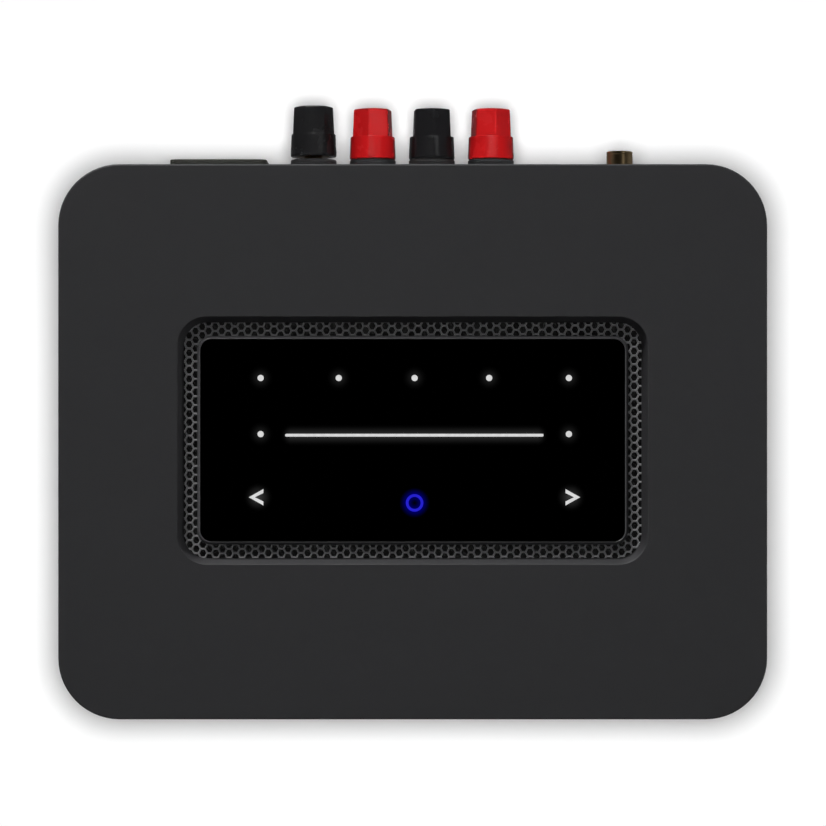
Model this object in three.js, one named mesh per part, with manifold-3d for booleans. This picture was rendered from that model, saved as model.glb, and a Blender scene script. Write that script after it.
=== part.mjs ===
// A compact streaming amplifier: a low rounded case with a glass touch panel sunk in its top,
// four screw-down loudspeaker binding posts, a mains inlet and small sockets at the rear.
// Millimetres, +Z up, front towards -Y. The origin is on the table under the middle of the footprint,
// binding posts included.

import * as THREE from "three";
import { mergeVertices } from "three/addons/utils/BufferGeometryUtils.js";
import Module from "manifold-3d";

const wasm = await Module();
wasm.setup();

// ---------------------------------------------------------------- driving dimensions

const OVERALL_DEPTH = 194;
const POST_OVERHANG = 21.7;
const BODY_WIDTH = 220;
const BODY_DEPTH = OVERALL_DEPTH - POST_OVERHANG;
const BODY_CORNER_RADIUS = 19;
const BODY_BOTTOM_Z = 4;
const BODY_TOP_Z = 70;
const WALL = 3;
const EDGE_RADIUS = 1;

// Stationary neighbours keep this much air between them.
const FIT_GAP = 0.1;
const LOOSE_GAP = 0.3;

const REAR_Y = BODY_DEPTH / 2;
const FRONT_Y = -BODY_DEPTH / 2;
const CEILING_Z = BODY_TOP_Z - WALL;

// Touch panel recess in the top, and the parts stacked in it.
const PANEL_CENTRE_Y = 0.4;
const RECESS = { width: 146, depth: 76.8, radius: 9, drop: 5, slope: 1.8 };
const RECESS_FLOOR_Z = BODY_TOP_Z - RECESS.drop;
const GRILLE = { width: 147, depth: 78.2, radius: 9.7, thickness: 1 };
const GRILLE_TOP_Z = RECESS_FLOOR_Z - LOOSE_GAP;
const BEZEL = { width: 134.5, depth: 65.1, radius: 4.5, height: 2.5, slope: 0.75 };
const BEZEL_BOTTOM_Z = GRILLE_TOP_Z + 0.2;
const BEZEL_TOP_Z = BEZEL_BOTTOM_Z + BEZEL.height;
const NECK = { width: 126, depth: 57, radius: 3, drop: 3.9 };
const NECK_BOTTOM_Z = BEZEL_BOTTOM_Z - NECK.drop;
const GLASS = { width: 132.3, depth: 63.1, radius: 3.5, thickness: 1.3 };
const GLASS_BED_Z = BEZEL_TOP_Z - 1.5;
const WINDOW = { width: 122, depth: 53, radius: 2 };

// Lens of the remote-control receiver, in X and Z on the front wall.
const IR_WINDOW = { width: 7.6, height: 3.6, radius: 1, x: 78, z: 20, flange: 1.7 };

// Base plate, feet and screws.
const BASE_INSET_Z = 0.6;
const BASE_BOTTOM_Z = BODY_BOTTOM_Z + BASE_INSET_Z;
const BASE_THICKNESS = 2.5;
const BASE_TOP_Z = BASE_BOTTOM_Z + BASE_THICKNESS;
const FOOT = { radius: 11, x: 86, y: 63, edge: 1.2 };
const BASE_SCREW = { x: 98, y: 73, headRadius: 3, shankRadius: 1.3, coneHeight: 1.5, length: 12 };
const BOSS_RADIUS = 4.5;
const VENT_SLOT = { length: 28, width: 3, pitchX: 34, pitchY: 10, columns: 2, rows: 7, x: -24, y: -11 };

// Rear panel. Its connectors are placed in X and Z, and in Y from the panel's outer face.
const PANEL_RECESS = 0.5;
const PANEL_FACE_Y = REAR_Y - PANEL_RECESS;
const REAR_OPENING = { width: 176, height: 54, z: 35, radius: 2 };
const PANEL_PLATE = 4.1;
const FLANGE = { width: 181, height: 55.6, z: 35.2, front: 2.8 };
const PANEL_SCREW = { x: 84.5, z: 57, headRadius: 2.8, headHeight: 1.5, shankRadius: 1.3, length: 12 };

// Loudspeaker binding posts, left to right as seen from the front. Each knob's turn is in degrees from
// a flat of its grip facing up, and the first one stands open, unscrewed from its collar by that much.
const POST_Z = 35;
const POST_PITCH = 19.05;
const FIRST_POST_X = -31.95;
const POSTS = [
  { name: "left_negative", turn: 4, open: 0.85, colour: 0x1b1c1e },
  { name: "left_positive", turn: 18, open: 0, colour: 0xc01a20 },
  { name: "right_negative", turn: 35, open: 0, colour: 0x1b1c1e },
  { name: "right_positive", turn: 44, open: 0, colour: 0xc01a20 },
].map((post, index) => ({ ...post, x: FIRST_POST_X + index * POST_PITCH }));
const STEM = { radius: 3, inner: -18, outer: 19, boreRadius: 2.05, boreDepth: 20 };
const WIRE_HOLE = { radius: 1.3, y: 7.2 };
const STEM_SHOULDER = { radius: 5.2, inner: -7.5, outer: -4.7 };
const KNOB_LENGTH = 16.4;
const KNOB_END = POST_OVERHANG + PANEL_RECESS - Math.max(...POSTS.map(({ open }) => open));
const KNOB_START = KNOB_END - KNOB_LENGTH;
const COLLAR = { radius: 7.5, outer: KNOB_START - 0.15, spigotRadius: 4.5, spigotInner: -4.4 };
const WASHER = { radius: 5.3, thickness: 1.4 };
const SKIRT = { startRadius: 7.4, endRadius: 7.1, length: 7.2 };
const GRIP = { startRadius: 6.64, endRadius: 6.28, cornerToFlat: 30 };
const RUNNING_CLEARANCE = 0.1;
const PLUG_HOLE_RADIUS = 2.6;

// Mains inlet with three blades.
const INLET = { x: -62.3, z: 30, flangeWidth: 31.3, flangeHeight: 24, flange: 4.5 };
const INLET_BODY = { width: 27, height: 19.6, inner: -20 };
const INLET_MOUTH = { width: 24.6, height: 16.4, floor: -12, chamfer: 4.5 };
const BLADE = { width: 2, height: 4, inner: -26, outer: 0 };
const BLADES = [
  { name: "mains_line_pin", x: -7, z: -2 },
  { name: "mains_earth_pin", x: 0, z: 2 },
  { name: "mains_neutral_pin", x: 7, z: -2 },
];

// Circuit boards.
const BOARD = 1.6;
const MAIN_BOARD = { left: 32, right: 92, front: -57, rear: 80.6, z: 11.4 };
const POWER_BOARD = { left: -90, right: -48, front: -57, rear: 61, z: 11.4 };
const AMPLIFIER_BOARD = { left: -42, right: 28, front: -21, rear: 66, z: 15 };
const IO_BOARD = { left: 40, right: 90, front: 53, rear: 80.6, z: 36.6 };
const TERMINAL_BOARD = { width: 72, height: 24, x: -3.4, inner: -13.7 };
const STANDOFF = { radius: 2.5, inset: 3 };
const HEATSINK = { left: -38, right: 24, front: -11, rear: 33, base: 4, height: 30, fins: 9, finWidth: 2 };
const CHIP_HEIGHT = 3;
const TRANSFORMER = { x: -69, y: 5, core: 24, coreDepth: 30, coil: 20, coilWidth: 32, height: 24 };
const CAPACITORS = { radius: 9, height: 34, y: -37, leftX: -79, rightX: -59 };
const CHOKE = { ringRadius: 7.5, coilRadius: 4.4, x: -69, y: 40 };
const LOWER_SOCKETS_Z = MAIN_BOARD.z + BOARD + FIT_GAP;
const UPPER_SOCKETS_Z = IO_BOARD.z + BOARD + FIT_GAP;

// Sockets on the rear panel.
const RCA = { x: 66, z: 44.5, barrelRadius: 4.15, barrelEnd: 6.6, coreRadius: 3.5, pinRadius: 1.65 };
const RCA_BLOCK = { width: 13, height: 12.2, inner: -18, outer: -4.3 };
const MINI_JACKS = [
  { name: "ir_input_jack", x: 50.5 },
  { name: "optical_input_jack", x: 81.5 },
];
const MINI_JACK = { z: 43, width: 8, height: 9, inner: -18, collarRadius: 3, boreRadius: 1.8, boreDepth: 14 };
const ETHERNET = { x: 42, width: 16, height: 13.5, inner: -21, mouthWidth: 11.9, mouthHeight: 8.6, depth: 14 };
const USB = { x: 60.5, width: 13.1, height: 5.9, inner: -14, wall: 0.4, tongue: 1.8 };
const HDMI = { x: 79, width: 15, height: 5.7, inner: -12, wall: 0.5, tongue: 1.6 };

// ---------------------------------------------------------------- shapes and solids

const MERGE_DISTANCE = 1e-4;

// A closed three.js geometry as a solid that can be joined and cut.
function solidOf(geometry) {
  const bare = geometry.index ? geometry.toNonIndexed() : geometry.clone();
  bare.deleteAttribute("normal");
  bare.deleteAttribute("uv");
  const merged = mergeVertices(bare, MERGE_DISTANCE);
  return new wasm.Manifold(
    new wasm.Mesh({
      numProp: 3,
      vertProperties: merged.attributes.position.array,
      triVerts: new Uint32Array(merged.index.array),
    }),
  );
}

function geometryOf(solid) {
  const cut = solid.getMesh();
  const geometry = new THREE.BufferGeometry();
  geometry.setAttribute("position", new THREE.BufferAttribute(cut.vertProperties, cut.numProp));
  geometry.setIndex(new THREE.BufferAttribute(cut.triVerts, 1));
  geometry.computeVertexNormals();
  return geometry;
}

function joined(solids) {
  return solids.reduce((whole, solid) => whole.add(solid));
}

function without(solid, cutters) {
  return cutters.reduce((rest, cutter) => rest.subtract(cutter), solid);
}

function roundedRectangle(width, height, radius, x = 0, y = 0) {
  const right = x + width / 2 - radius;
  const left = x - width / 2 + radius;
  const top = y + height / 2 - radius;
  const bottom = y - height / 2 + radius;
  const quarter = Math.PI / 2;
  const shape = new THREE.Shape();
  shape.absarc(right, top, radius, 0, quarter, false);
  shape.absarc(left, top, radius, quarter, 2 * quarter, false);
  shape.absarc(left, bottom, radius, 2 * quarter, 3 * quarter, false);
  shape.absarc(right, bottom, radius, 3 * quarter, 4 * quarter, false);
  return shape;
}

// An outline in X and Y pushed up from bottomZ to topZ.
function upright(shape, bottomZ, topZ, curveSegments = 3) {
  const geometry = new THREE.ExtrudeGeometry(shape, {
    depth: topZ - bottomZ,
    bevelEnabled: false,
    curveSegments,
  });
  geometry.translate(0, 0, bottomZ);
  return solidOf(geometry);
}

// An outline in X and Z pushed from frontY back to rearY.
function pushedBack(shape, frontY, rearY, curveSegments = 2) {
  const geometry = new THREE.ExtrudeGeometry(shape, {
    depth: rearY - frontY,
    bevelEnabled: false,
    curveSegments,
  });
  geometry.rotateX(Math.PI / 2);
  geometry.translate(0, rearY, 0);
  return solidOf(geometry);
}

// A box given by its low and high corners.
function block(low, high) {
  const size = high.map((value, axis) => value - low[axis]);
  const geometry = new THREE.BoxGeometry(...size);
  geometry.translate(...low.map((value, axis) => value + size[axis] / 2));
  return solidOf(geometry);
}

// A profile of [radius, height] points turned about the Y axis.
function turned(profile, segments = 20) {
  const points = profile.map(([radius, height]) => new THREE.Vector2(radius, height));
  return solidOf(new THREE.LatheGeometry(points, segments));
}

// The same, about the Z axis.
function turnedUpright(profile, segments = 20) {
  const points = profile.map(([radius, height]) => new THREE.Vector2(radius, height));
  const geometry = new THREE.LatheGeometry(points, segments);
  geometry.rotateX(Math.PI / 2);
  return solidOf(geometry);
}

// A round rod along Y, or along Z, from one height to another.
function rod(radius, low, high, segments = 20) {
  return turned([[0, low], [radius, low], [radius, high], [0, high]], segments);
}

function uprightRod(radius, low, high, x, y, segments = 16) {
  return turnedUpright([[0, low], [radius, low], [radius, high], [0, high]], segments).translate([x, y, 0]);
}

function piece(name, solid, colour, roughness, metalness) {
  const material = new THREE.MeshStandardMaterial({ color: colour, roughness, metalness });
  const mesh = new THREE.Mesh(geometryOf(solid), material);
  mesh.name = name;
  return mesh;
}

function corners(x, y) {
  return [
    { name: "front_left", x: -x, y: -y },
    { name: "front_right", x, y: -y },
    { name: "rear_left", x: -x, y },
    { name: "rear_right", x, y },
  ];
}

// ---------------------------------------------------------------- case

function outerBlock() {
  const shape = roundedRectangle(BODY_WIDTH, BODY_DEPTH, BODY_CORNER_RADIUS);
  const geometry = new THREE.ExtrudeGeometry(shape, {
    depth: BODY_TOP_Z - BODY_BOTTOM_Z - 2 * EDGE_RADIUS,
    bevelThickness: EDGE_RADIUS,
    bevelSize: EDGE_RADIUS,
    bevelOffset: -EDGE_RADIUS,
    bevelSegments: 2,
    curveSegments: 5,
  });
  geometry.translate(0, 0, BODY_BOTTOM_Z + EDGE_RADIUS);
  return solidOf(geometry);
}

// Four sloping walls that narrow towards the floor of the recess.
function recessCutter() {
  const shape = roundedRectangle(RECESS.width, RECESS.depth, RECESS.radius, 0, PANEL_CENTRE_Y);
  const geometry = new THREE.ExtrudeGeometry(shape, {
    depth: RECESS.drop,
    bevelThickness: RECESS.drop,
    bevelSize: RECESS.slope,
    bevelOffset: -RECESS.slope,
    bevelSegments: 1,
    curveSegments: 3,
  });
  geometry.translate(0, 0, BODY_TOP_Z);
  return solidOf(geometry);
}

function irWindowHole(clearance) {
  const { width, height, radius, x, z } = IR_WINDOW;
  const shape = roundedRectangle(width + 2 * clearance, height + 2 * clearance, radius, x, z);
  return pushedBack(shape, FRONT_Y - 1, FRONT_Y + WALL + 1);
}

function topShell() {
  const inside = BODY_CORNER_RADIUS - WALL;
  const hollow = roundedRectangle(BODY_WIDTH - 2 * WALL, BODY_DEPTH - 2 * WALL, inside);
  const rimWidth = GRILLE.width + 7;
  const rimDepth = GRILLE.depth + 7;
  const rim = roundedRectangle(rimWidth, rimDepth, GRILLE.radius + 3.5, 0, PANEL_CENTRE_Y);
  const seat = roundedRectangle(GRILLE.width + 0.6, GRILLE.depth + 0.6, GRILLE.radius + 0.3, 0, PANEL_CENTRE_Y);
  const rimBottomZ = CEILING_Z - 5;
  const rearOpening = roundedRectangle(
    REAR_OPENING.width, REAR_OPENING.height, REAR_OPENING.radius, 0, REAR_OPENING.z,
  );
  const blockRearY = PANEL_FACE_Y - PANEL_PLATE - LOOSE_GAP;
  const blockDepth = 12;
  const bosses = corners(BASE_SCREW.x, BASE_SCREW.y).map(({ x, y }) =>
    uprightRod(BOSS_RADIUS, BASE_TOP_Z + 0.2, CEILING_Z + 1, x, y),
  );
  const screwBlocks = [-1, 1].map((side) =>
    block(
      [side * PANEL_SCREW.x - BOSS_RADIUS, blockRearY - blockDepth, PANEL_SCREW.z - BOSS_RADIUS],
      [side * PANEL_SCREW.x + BOSS_RADIUS, blockRearY, CEILING_Z + 1],
    ),
  );
  const bossHoles = corners(BASE_SCREW.x, BASE_SCREW.y).map(({ x, y }) =>
    uprightRod(BASE_SCREW.shankRadius + 0.15, BASE_TOP_Z - 1, BASE_BOTTOM_Z + BASE_SCREW.length + 1, x, y, 12),
  );
  const blockHoles = [-1, 1].map((side) =>
    rod(PANEL_SCREW.shankRadius + 0.15, blockRearY - blockDepth + 1, blockRearY + 1, 12)
      .translate([side * PANEL_SCREW.x, 0, PANEL_SCREW.z]),
  );
  const skin = without(outerBlock(), [upright(hollow, BODY_BOTTOM_Z - 1, CEILING_Z, 4)]);
  const filled = joined([skin, upright(rim, rimBottomZ, CEILING_Z + 1), ...bosses, ...screwBlocks]);
  return without(filled, [
    recessCutter(),
    upright(seat, rimBottomZ - 1, RECESS_FLOOR_Z),
    pushedBack(rearOpening, REAR_Y - WALL - 1, REAR_Y + 1, 1),
    irWindowHole(0.2),
    ...bossHoles,
    ...blockHoles,
  ]);
}

// The small dark lens of the remote-control receiver, low on the front.
function irWindow() {
  const { width, height, radius, x, z, flange } = IR_WINDOW;
  const lens = roundedRectangle(width, height, radius, x, z);
  const lip = roundedRectangle(width + 2 * flange, height + 2 * flange, radius, x, z);
  const innerY = FRONT_Y + WALL;
  return joined([
    pushedBack(lens, FRONT_Y + 0.15, innerY + 1, 1),
    pushedBack(lip, innerY + LOOSE_GAP, innerY + 1.5, 1),
  ]);
}

function ventSlots() {
  const slots = [];
  for (let column = 0; column < VENT_SLOT.columns; column += 1) {
    for (let row = 0; row < VENT_SLOT.rows; row += 1) {
      const x = VENT_SLOT.x + column * VENT_SLOT.pitchX;
      const y = VENT_SLOT.y + row * VENT_SLOT.pitchY;
      const outline = roundedRectangle(VENT_SLOT.length, VENT_SLOT.width, VENT_SLOT.width / 2, x, y);
      slots.push(upright(outline, BASE_BOTTOM_Z - 1, BASE_TOP_Z + 1, 1));
    }
  }
  return slots;
}

// Pillars under the four corners of a board.
function standoffs(board) {
  const xs = [board.left + STANDOFF.inset, board.right - STANDOFF.inset];
  const ys = [board.front + STANDOFF.inset, board.rear - STANDOFF.inset];
  return xs.flatMap((x) =>
    ys.map((y) => uprightRod(STANDOFF.radius, BASE_TOP_Z - 1, board.z - FIT_GAP, x, y, 12)),
  );
}

// The outline of a flat-headed screw, head down, grown by a clearance.
function baseScrewProfile(clearance) {
  const { headRadius, shankRadius, coneHeight, length } = BASE_SCREW;
  return [
    [0, BASE_BOTTOM_Z],
    [headRadius + clearance, BASE_BOTTOM_Z],
    [shankRadius + clearance, BASE_BOTTOM_Z + coneHeight + clearance],
    [shankRadius + clearance, BASE_BOTTOM_Z + length],
    [0, BASE_BOTTOM_Z + length],
  ];
}

function basePlate() {
  const inset = WALL + LOOSE_GAP;
  const outline = roundedRectangle(
    BODY_WIDTH - 2 * inset, BODY_DEPTH - 2 * inset, BODY_CORNER_RADIUS - inset,
  );
  const plate = joined([
    upright(outline, BASE_BOTTOM_Z, BASE_TOP_Z, 4),
    ...standoffs(MAIN_BOARD),
    ...standoffs(POWER_BOARD),
    ...standoffs(AMPLIFIER_BOARD),
  ]);
  const screwHoles = corners(BASE_SCREW.x, BASE_SCREW.y).map(({ x, y }) =>
    turnedUpright(baseScrewProfile(0.2), 16).translate([x, y, 0]),
  );
  return without(plate, [...screwHoles, ...ventSlots()]);
}

function hexSocket(radius, low, high) {
  return rod(radius, low, high, 6);
}

function baseScrew() {
  const socket = turnedUpright(
    [[0, BASE_BOTTOM_Z - 1], [1.2, BASE_BOTTOM_Z - 1], [1.2, BASE_BOTTOM_Z + 1.2], [0, BASE_BOTTOM_Z + 1.2]],
    6,
  );
  return turnedUpright(baseScrewProfile(0), 16).subtract(socket);
}

// A rubber foot with a bevelled tread.
function foot() {
  const { radius, edge } = FOOT;
  const top = BASE_BOTTOM_Z - FIT_GAP;
  return turnedUpright(
    [[0, 0], [radius - edge, 0], [radius, edge], [radius, top - 0.4], [radius - 0.4, top], [0, top]],
    24,
  );
}

// ---------------------------------------------------------------- touch panel

// The flat perforated sheet around the touch panel.
function ventGrille() {
  const { width, depth, radius, thickness } = GRILLE;
  const sheet = roundedRectangle(width, depth, radius, 0, PANEL_CENTRE_Y);
  const opening = roundedRectangle(NECK.width + 0.8, NECK.depth + 0.8, NECK.radius, 0, PANEL_CENTRE_Y);
  return upright(sheet, GRILLE_TOP_Z - thickness, GRILLE_TOP_Z).subtract(
    upright(opening, GRILLE_TOP_Z - thickness - 1, GRILLE_TOP_Z + 1),
  );
}

// A tray with sloping sides that holds the glass, and a neck that reaches through the grille.
function touchBezel() {
  const outline = roundedRectangle(BEZEL.width, BEZEL.depth, BEZEL.radius, 0, PANEL_CENTRE_Y);
  const geometry = new THREE.ExtrudeGeometry(outline, {
    depth: 1,
    bevelThickness: BEZEL.height,
    bevelSize: BEZEL.slope,
    bevelOffset: -BEZEL.slope,
    bevelSegments: 1,
    curveSegments: 3,
  });
  geometry.translate(0, 0, BEZEL_BOTTOM_Z - 1);
  const keep = block([-BODY_WIDTH, -BODY_DEPTH, BEZEL_BOTTOM_Z], [BODY_WIDTH, BODY_DEPTH, BEZEL_TOP_Z + 1]);
  const tray = solidOf(geometry).intersect(keep);
  const neck = roundedRectangle(NECK.width, NECK.depth, NECK.radius, 0, PANEL_CENTRE_Y);
  const pocket = roundedRectangle(
    GLASS.width, GLASS.depth, GLASS.radius, 0, PANEL_CENTRE_Y,
  );
  const window = roundedRectangle(WINDOW.width, WINDOW.depth, WINDOW.radius, 0, PANEL_CENTRE_Y);
  return without(joined([tray, upright(neck, NECK_BOTTOM_Z, BEZEL_BOTTOM_Z + 0.5)]), [
    upright(pocket, GLASS_BED_Z, BEZEL_TOP_Z + 1),
    upright(window, NECK_BOTTOM_Z - 1, BEZEL_TOP_Z),
  ]);
}

function sheetInPanel(width, depth, radius, bottomZ, topZ) {
  return upright(roundedRectangle(width, depth, radius, 0, PANEL_CENTRE_Y), bottomZ, topZ);
}

function touchGlass() {
  const play = 0.2;
  const bottomZ = GLASS_BED_Z + FIT_GAP;
  const { width, depth, radius, thickness } = GLASS;
  return sheetInPanel(width - play, depth - play, radius, bottomZ, bottomZ + thickness);
}

function lightGuide() {
  const play = 0.6;
  return sheetInPanel(
    WINDOW.width - play, WINDOW.depth - play, WINDOW.radius, NECK_BOTTOM_Z + 0.2, GLASS_BED_Z - LOOSE_GAP,
  );
}

function touchBoard() {
  const top = NECK_BOTTOM_Z - LOOSE_GAP;
  return sheetInPanel(NECK.width, NECK.depth, NECK.radius, top - BOARD, top);
}

// A flat flexible cable from the touch board down to the main board.
function touchRibbonCable() {
  const y = -18;
  const topZ = NECK_BOTTOM_Z - LOOSE_GAP - BOARD - LOOSE_GAP;
  const bottomZ = MAIN_BOARD.z + BOARD + LOOSE_GAP;
  const path = new THREE.CatmullRomCurve3([
    new THREE.Vector3(40, y, topZ),
    new THREE.Vector3(40, y, topZ - 10),
    new THREE.Vector3(46, y, topZ - 24),
    new THREE.Vector3(40, y, bottomZ + 10),
    new THREE.Vector3(40, y, bottomZ),
  ]);
  const strip = new THREE.Shape();
  strip.moveTo(-6, -0.25);
  strip.lineTo(6, -0.25);
  strip.lineTo(6, 0.25);
  strip.lineTo(-6, 0.25);
  return solidOf(new THREE.ExtrudeGeometry(strip, { steps: 14, extrudePath: path }));
}

// ---------------------------------------------------------------- rear panel and sockets
// In these functions Y = 0 is the outer face of the rear panel.

function rearPanel() {
  const plate = roundedRectangle(
    REAR_OPENING.width - 0.6, REAR_OPENING.height - 0.6, REAR_OPENING.radius, 0, REAR_OPENING.z,
  );
  const flange = roundedRectangle(FLANGE.width, FLANGE.height, REAR_OPENING.radius, 0, FLANGE.z);
  const inner = -PANEL_PLATE;
  const blank = joined([pushedBack(plate, inner, 0, 1), pushedBack(flange, inner, -FLANGE.front, 1)]);
  const through = (solid, x, z) => solid.translate([x, 0, z]);
  const round = (radius, x, z, segments) => through(rod(radius, inner - 1, 1, segments), x, z);
  const square = (width, height, x, z) =>
    pushedBack(roundedRectangle(width, height, 0.6, x, z), inner - 1, 1, 1);
  const lowerSocket = ({ x, width, height }) =>
    square(width + 0.6, height + 0.6, x, LOWER_SOCKETS_Z + height / 2);
  const screwSeats = [-1, 1].flatMap((side) => [
    round(PANEL_SCREW.shankRadius + 0.2, side * PANEL_SCREW.x, PANEL_SCREW.z, 12),
    through(
      rod(PANEL_SCREW.headRadius + 0.2, -PANEL_SCREW.headHeight - 0.2, 1, 16),
      side * PANEL_SCREW.x,
      PANEL_SCREW.z,
    ),
  ]);
  return without(blank, [
    ...POSTS.map(({ x }) => round(COLLAR.spigotRadius + 0.2, x, POST_Z, 24)),
    square(INLET_BODY.width + 0.5, INLET_BODY.height + 0.5, INLET.x, INLET.z),
    round(RCA.barrelRadius + 0.3, RCA.x, RCA.z, 24),
    ...MINI_JACKS.map(({ x }) => round(MINI_JACK.collarRadius + 0.3, x, MINI_JACK.z, 16)),
    lowerSocket(ETHERNET),
    lowerSocket(USB),
    lowerSocket(HDMI),
    ...screwSeats,
  ]);
}

function panelScrew() {
  const { headRadius, headHeight, shankRadius, length } = PANEL_SCREW;
  const inner = -headHeight - length;
  const whole = turned(
    [[0, inner], [shankRadius, inner], [shankRadius, -headHeight], [headRadius, -headHeight],
      [headRadius, -0.4], [headRadius - 0.3, -FIT_GAP], [0, -FIT_GAP]],
    16,
  );
  return whole.subtract(hexSocket(1.2, -1.1, 1));
}

function postCollar() {
  const { radius, outer, spigotRadius, spigotInner } = COLLAR;
  const bore = STEM.radius + 0.15;
  return turned([
    [bore, spigotInner],
    [spigotRadius, spigotInner],
    [spigotRadius, FIT_GAP],
    [radius, FIT_GAP],
    [radius, outer - 0.8],
    [radius - 0.5, outer],
    [bore, outer],
    [bore, spigotInner],
  ]);
}

// The threaded metal stem, with a 4 mm plug bore in its end and a cross hole for bare wire.
function postStem() {
  const { radius, inner, outer, boreRadius, boreDepth } = STEM;
  const shaft = turned([[0, inner], [radius, inner], [radius, outer - 0.3], [radius - 0.3, outer], [0, outer]]);
  const shoulder = rod(STEM_SHOULDER.radius, STEM_SHOULDER.inner, STEM_SHOULDER.outer, 6);
  const bore = rod(boreRadius, outer - boreDepth, outer + 1, 16);
  const wireHole = uprightRod(WIRE_HOLE.radius, -radius - 1, radius + 1, 0, WIRE_HOLE.y, 12);
  return without(joined([shaft, shoulder]), [bore, wireHole]);
}

function clampWasher() {
  const bore = STEM.radius + RUNNING_CLEARANCE;
  const low = KNOB_START - 0.03;
  const high = low + WASHER.thickness;
  return turned([[bore, low], [WASHER.radius, low], [WASHER.radius, high], [bore, high], [bore, low]]);
}

// The insulated cap: a round skirt with a seat for the washer, and a tapered six-sided grip.
function postKnob() {
  const skirtEnd = KNOB_START + SKIRT.length;
  const seatDepth = WASHER.thickness + FIT_GAP;
  const skirt = turned([
    [0, KNOB_START],
    [SKIRT.startRadius - 0.3, KNOB_START],
    [SKIRT.startRadius, KNOB_START + 0.4],
    [SKIRT.endRadius, skirtEnd - 0.5],
    [SKIRT.endRadius - 0.5, skirtEnd],
    [0, skirtEnd],
  ]);
  const tip = 0.6;
  const gripStart = skirtEnd - 0.5;
  const grip = turned(
    [
      [0, gripStart],
      [GRIP.startRadius, gripStart],
      [GRIP.endRadius, KNOB_END - tip],
      [GRIP.endRadius - tip, KNOB_END],
      [0, KNOB_END],
    ],
    6,
  );
  return without(joined([skirt, grip]), [
    rod(WASHER.radius + 0.2, KNOB_START - 1, KNOB_START + seatDepth),
    rod(STEM.radius + RUNNING_CLEARANCE, KNOB_START, STEM.outer + 0.2),
    rod(PLUG_HOLE_RADIUS, STEM.outer - 1, KNOB_END + 1, 16),
  ]);
}

function bindingPost({ name, x, turn, open, colour }) {
  const knob = piece(`post_knob_${name}`, postKnob(), colour, 0.3, 0);
  knob.rotation.y = THREE.MathUtils.degToRad(turn + GRIP.cornerToFlat);
  const moving = new THREE.Group();
  moving.position.y = open;
  moving.add(piece(`post_washer_${name}`, clampWasher(), 0xc9a24a, 0.3, 1), knob);
  const post = new THREE.Group();
  post.position.set(x, 0, POST_Z);
  post.add(
    piece(`post_collar_${name}`, postCollar(), 0x242426, 0.6, 0),
    piece(`post_stem_${name}`, postStem(), 0xc9a24a, 0.25, 1),
    moving,
  );
  return post;
}

// The mouth of the mains inlet: a rectangle with its two upper corners cut off.
function inletOutline(grow) {
  const { width, height, chamfer } = INLET_MOUTH;
  const side = width / 2 + grow;
  const top = height / 2 + grow;
  const shape = new THREE.Shape();
  shape.moveTo(-side, -top);
  shape.lineTo(side, -top);
  shape.lineTo(side, top - chamfer);
  shape.lineTo(side - chamfer, top);
  shape.lineTo(-side + chamfer, top);
  shape.lineTo(-side, top - chamfer);
  return shape;
}

function bladeBlock({ x, z }, clearance) {
  const halfWidth = BLADE.width / 2 + clearance;
  const halfHeight = BLADE.height / 2 + clearance;
  return block(
    [x - halfWidth, BLADE.inner, z - halfHeight],
    [x + halfWidth, BLADE.outer, z + halfHeight],
  );
}

function inletBody() {
  const flange = roundedRectangle(INLET.flangeWidth, INLET.flangeHeight, 2.5);
  const body = roundedRectangle(INLET_BODY.width, INLET_BODY.height, 1);
  const whole = joined([
    pushedBack(flange, FIT_GAP, INLET.flange),
    pushedBack(body, INLET_BODY.inner, INLET.flange - 0.5, 1),
  ]);
  return without(whole, [
    pushedBack(inletOutline(0), INLET_MOUTH.floor, INLET.flange + 1),
    ...BLADES.map((blade) => bladeBlock(blade, 0.1)),
  ]);
}

function mainsInlet() {
  const inlet = new THREE.Group();
  inlet.position.set(INLET.x, 0, INLET.z);
  inlet.add(piece("mains_inlet_body", inletBody(), 0x1c1c17, 0.5, 0));
  for (const blade of BLADES) {
    inlet.add(piece(blade.name, bladeBlock(blade, 0), 0xb9babd, 0.3, 1));
  }
  return inlet;
}

function rcaBarrel() {
  const { barrelRadius, barrelEnd, coreRadius } = RCA;
  const inner = coreRadius + 0.1;
  const start = RCA_BLOCK.outer + FIT_GAP;
  const rim = { radius: barrelRadius + 1.25, thickness: 1 };
  return turned([
    [inner, start],
    [barrelRadius, start],
    [barrelRadius, FIT_GAP],
    [rim.radius, FIT_GAP],
    [rim.radius, FIT_GAP + rim.thickness],
    [barrelRadius, FIT_GAP + rim.thickness],
    [barrelRadius, barrelEnd - 0.3],
    [barrelRadius - 0.3, barrelEnd],
    [inner, barrelEnd],
    [inner, start],
  ]);
}

// The moulded block behind the socket, with the core that carries the centre contact.
function rcaInsulator() {
  const { width, height, inner, outer } = RCA_BLOCK;
  const base = block(
    [-width / 2, inner, UPPER_SOCKETS_Z - RCA.z],
    [width / 2, outer, UPPER_SOCKETS_Z - RCA.z + height],
  );
  const core = rod(RCA.coreRadius, outer - 1, RCA.barrelEnd - 1.2, 20);
  const bore = rod(RCA.pinRadius, outer - 2, RCA.barrelEnd, 12);
  return joined([base, core]).subtract(bore);
}

function rcaSocket() {
  const socket = new THREE.Group();
  socket.position.set(RCA.x, 0, RCA.z);
  socket.add(
    piece("rca_barrel", rcaBarrel(), 0xb08d3c, 0.3, 1),
    piece("rca_insulator", rcaInsulator(), 0x1a1a1a, 0.5, 0),
  );
  return socket;
}

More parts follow.
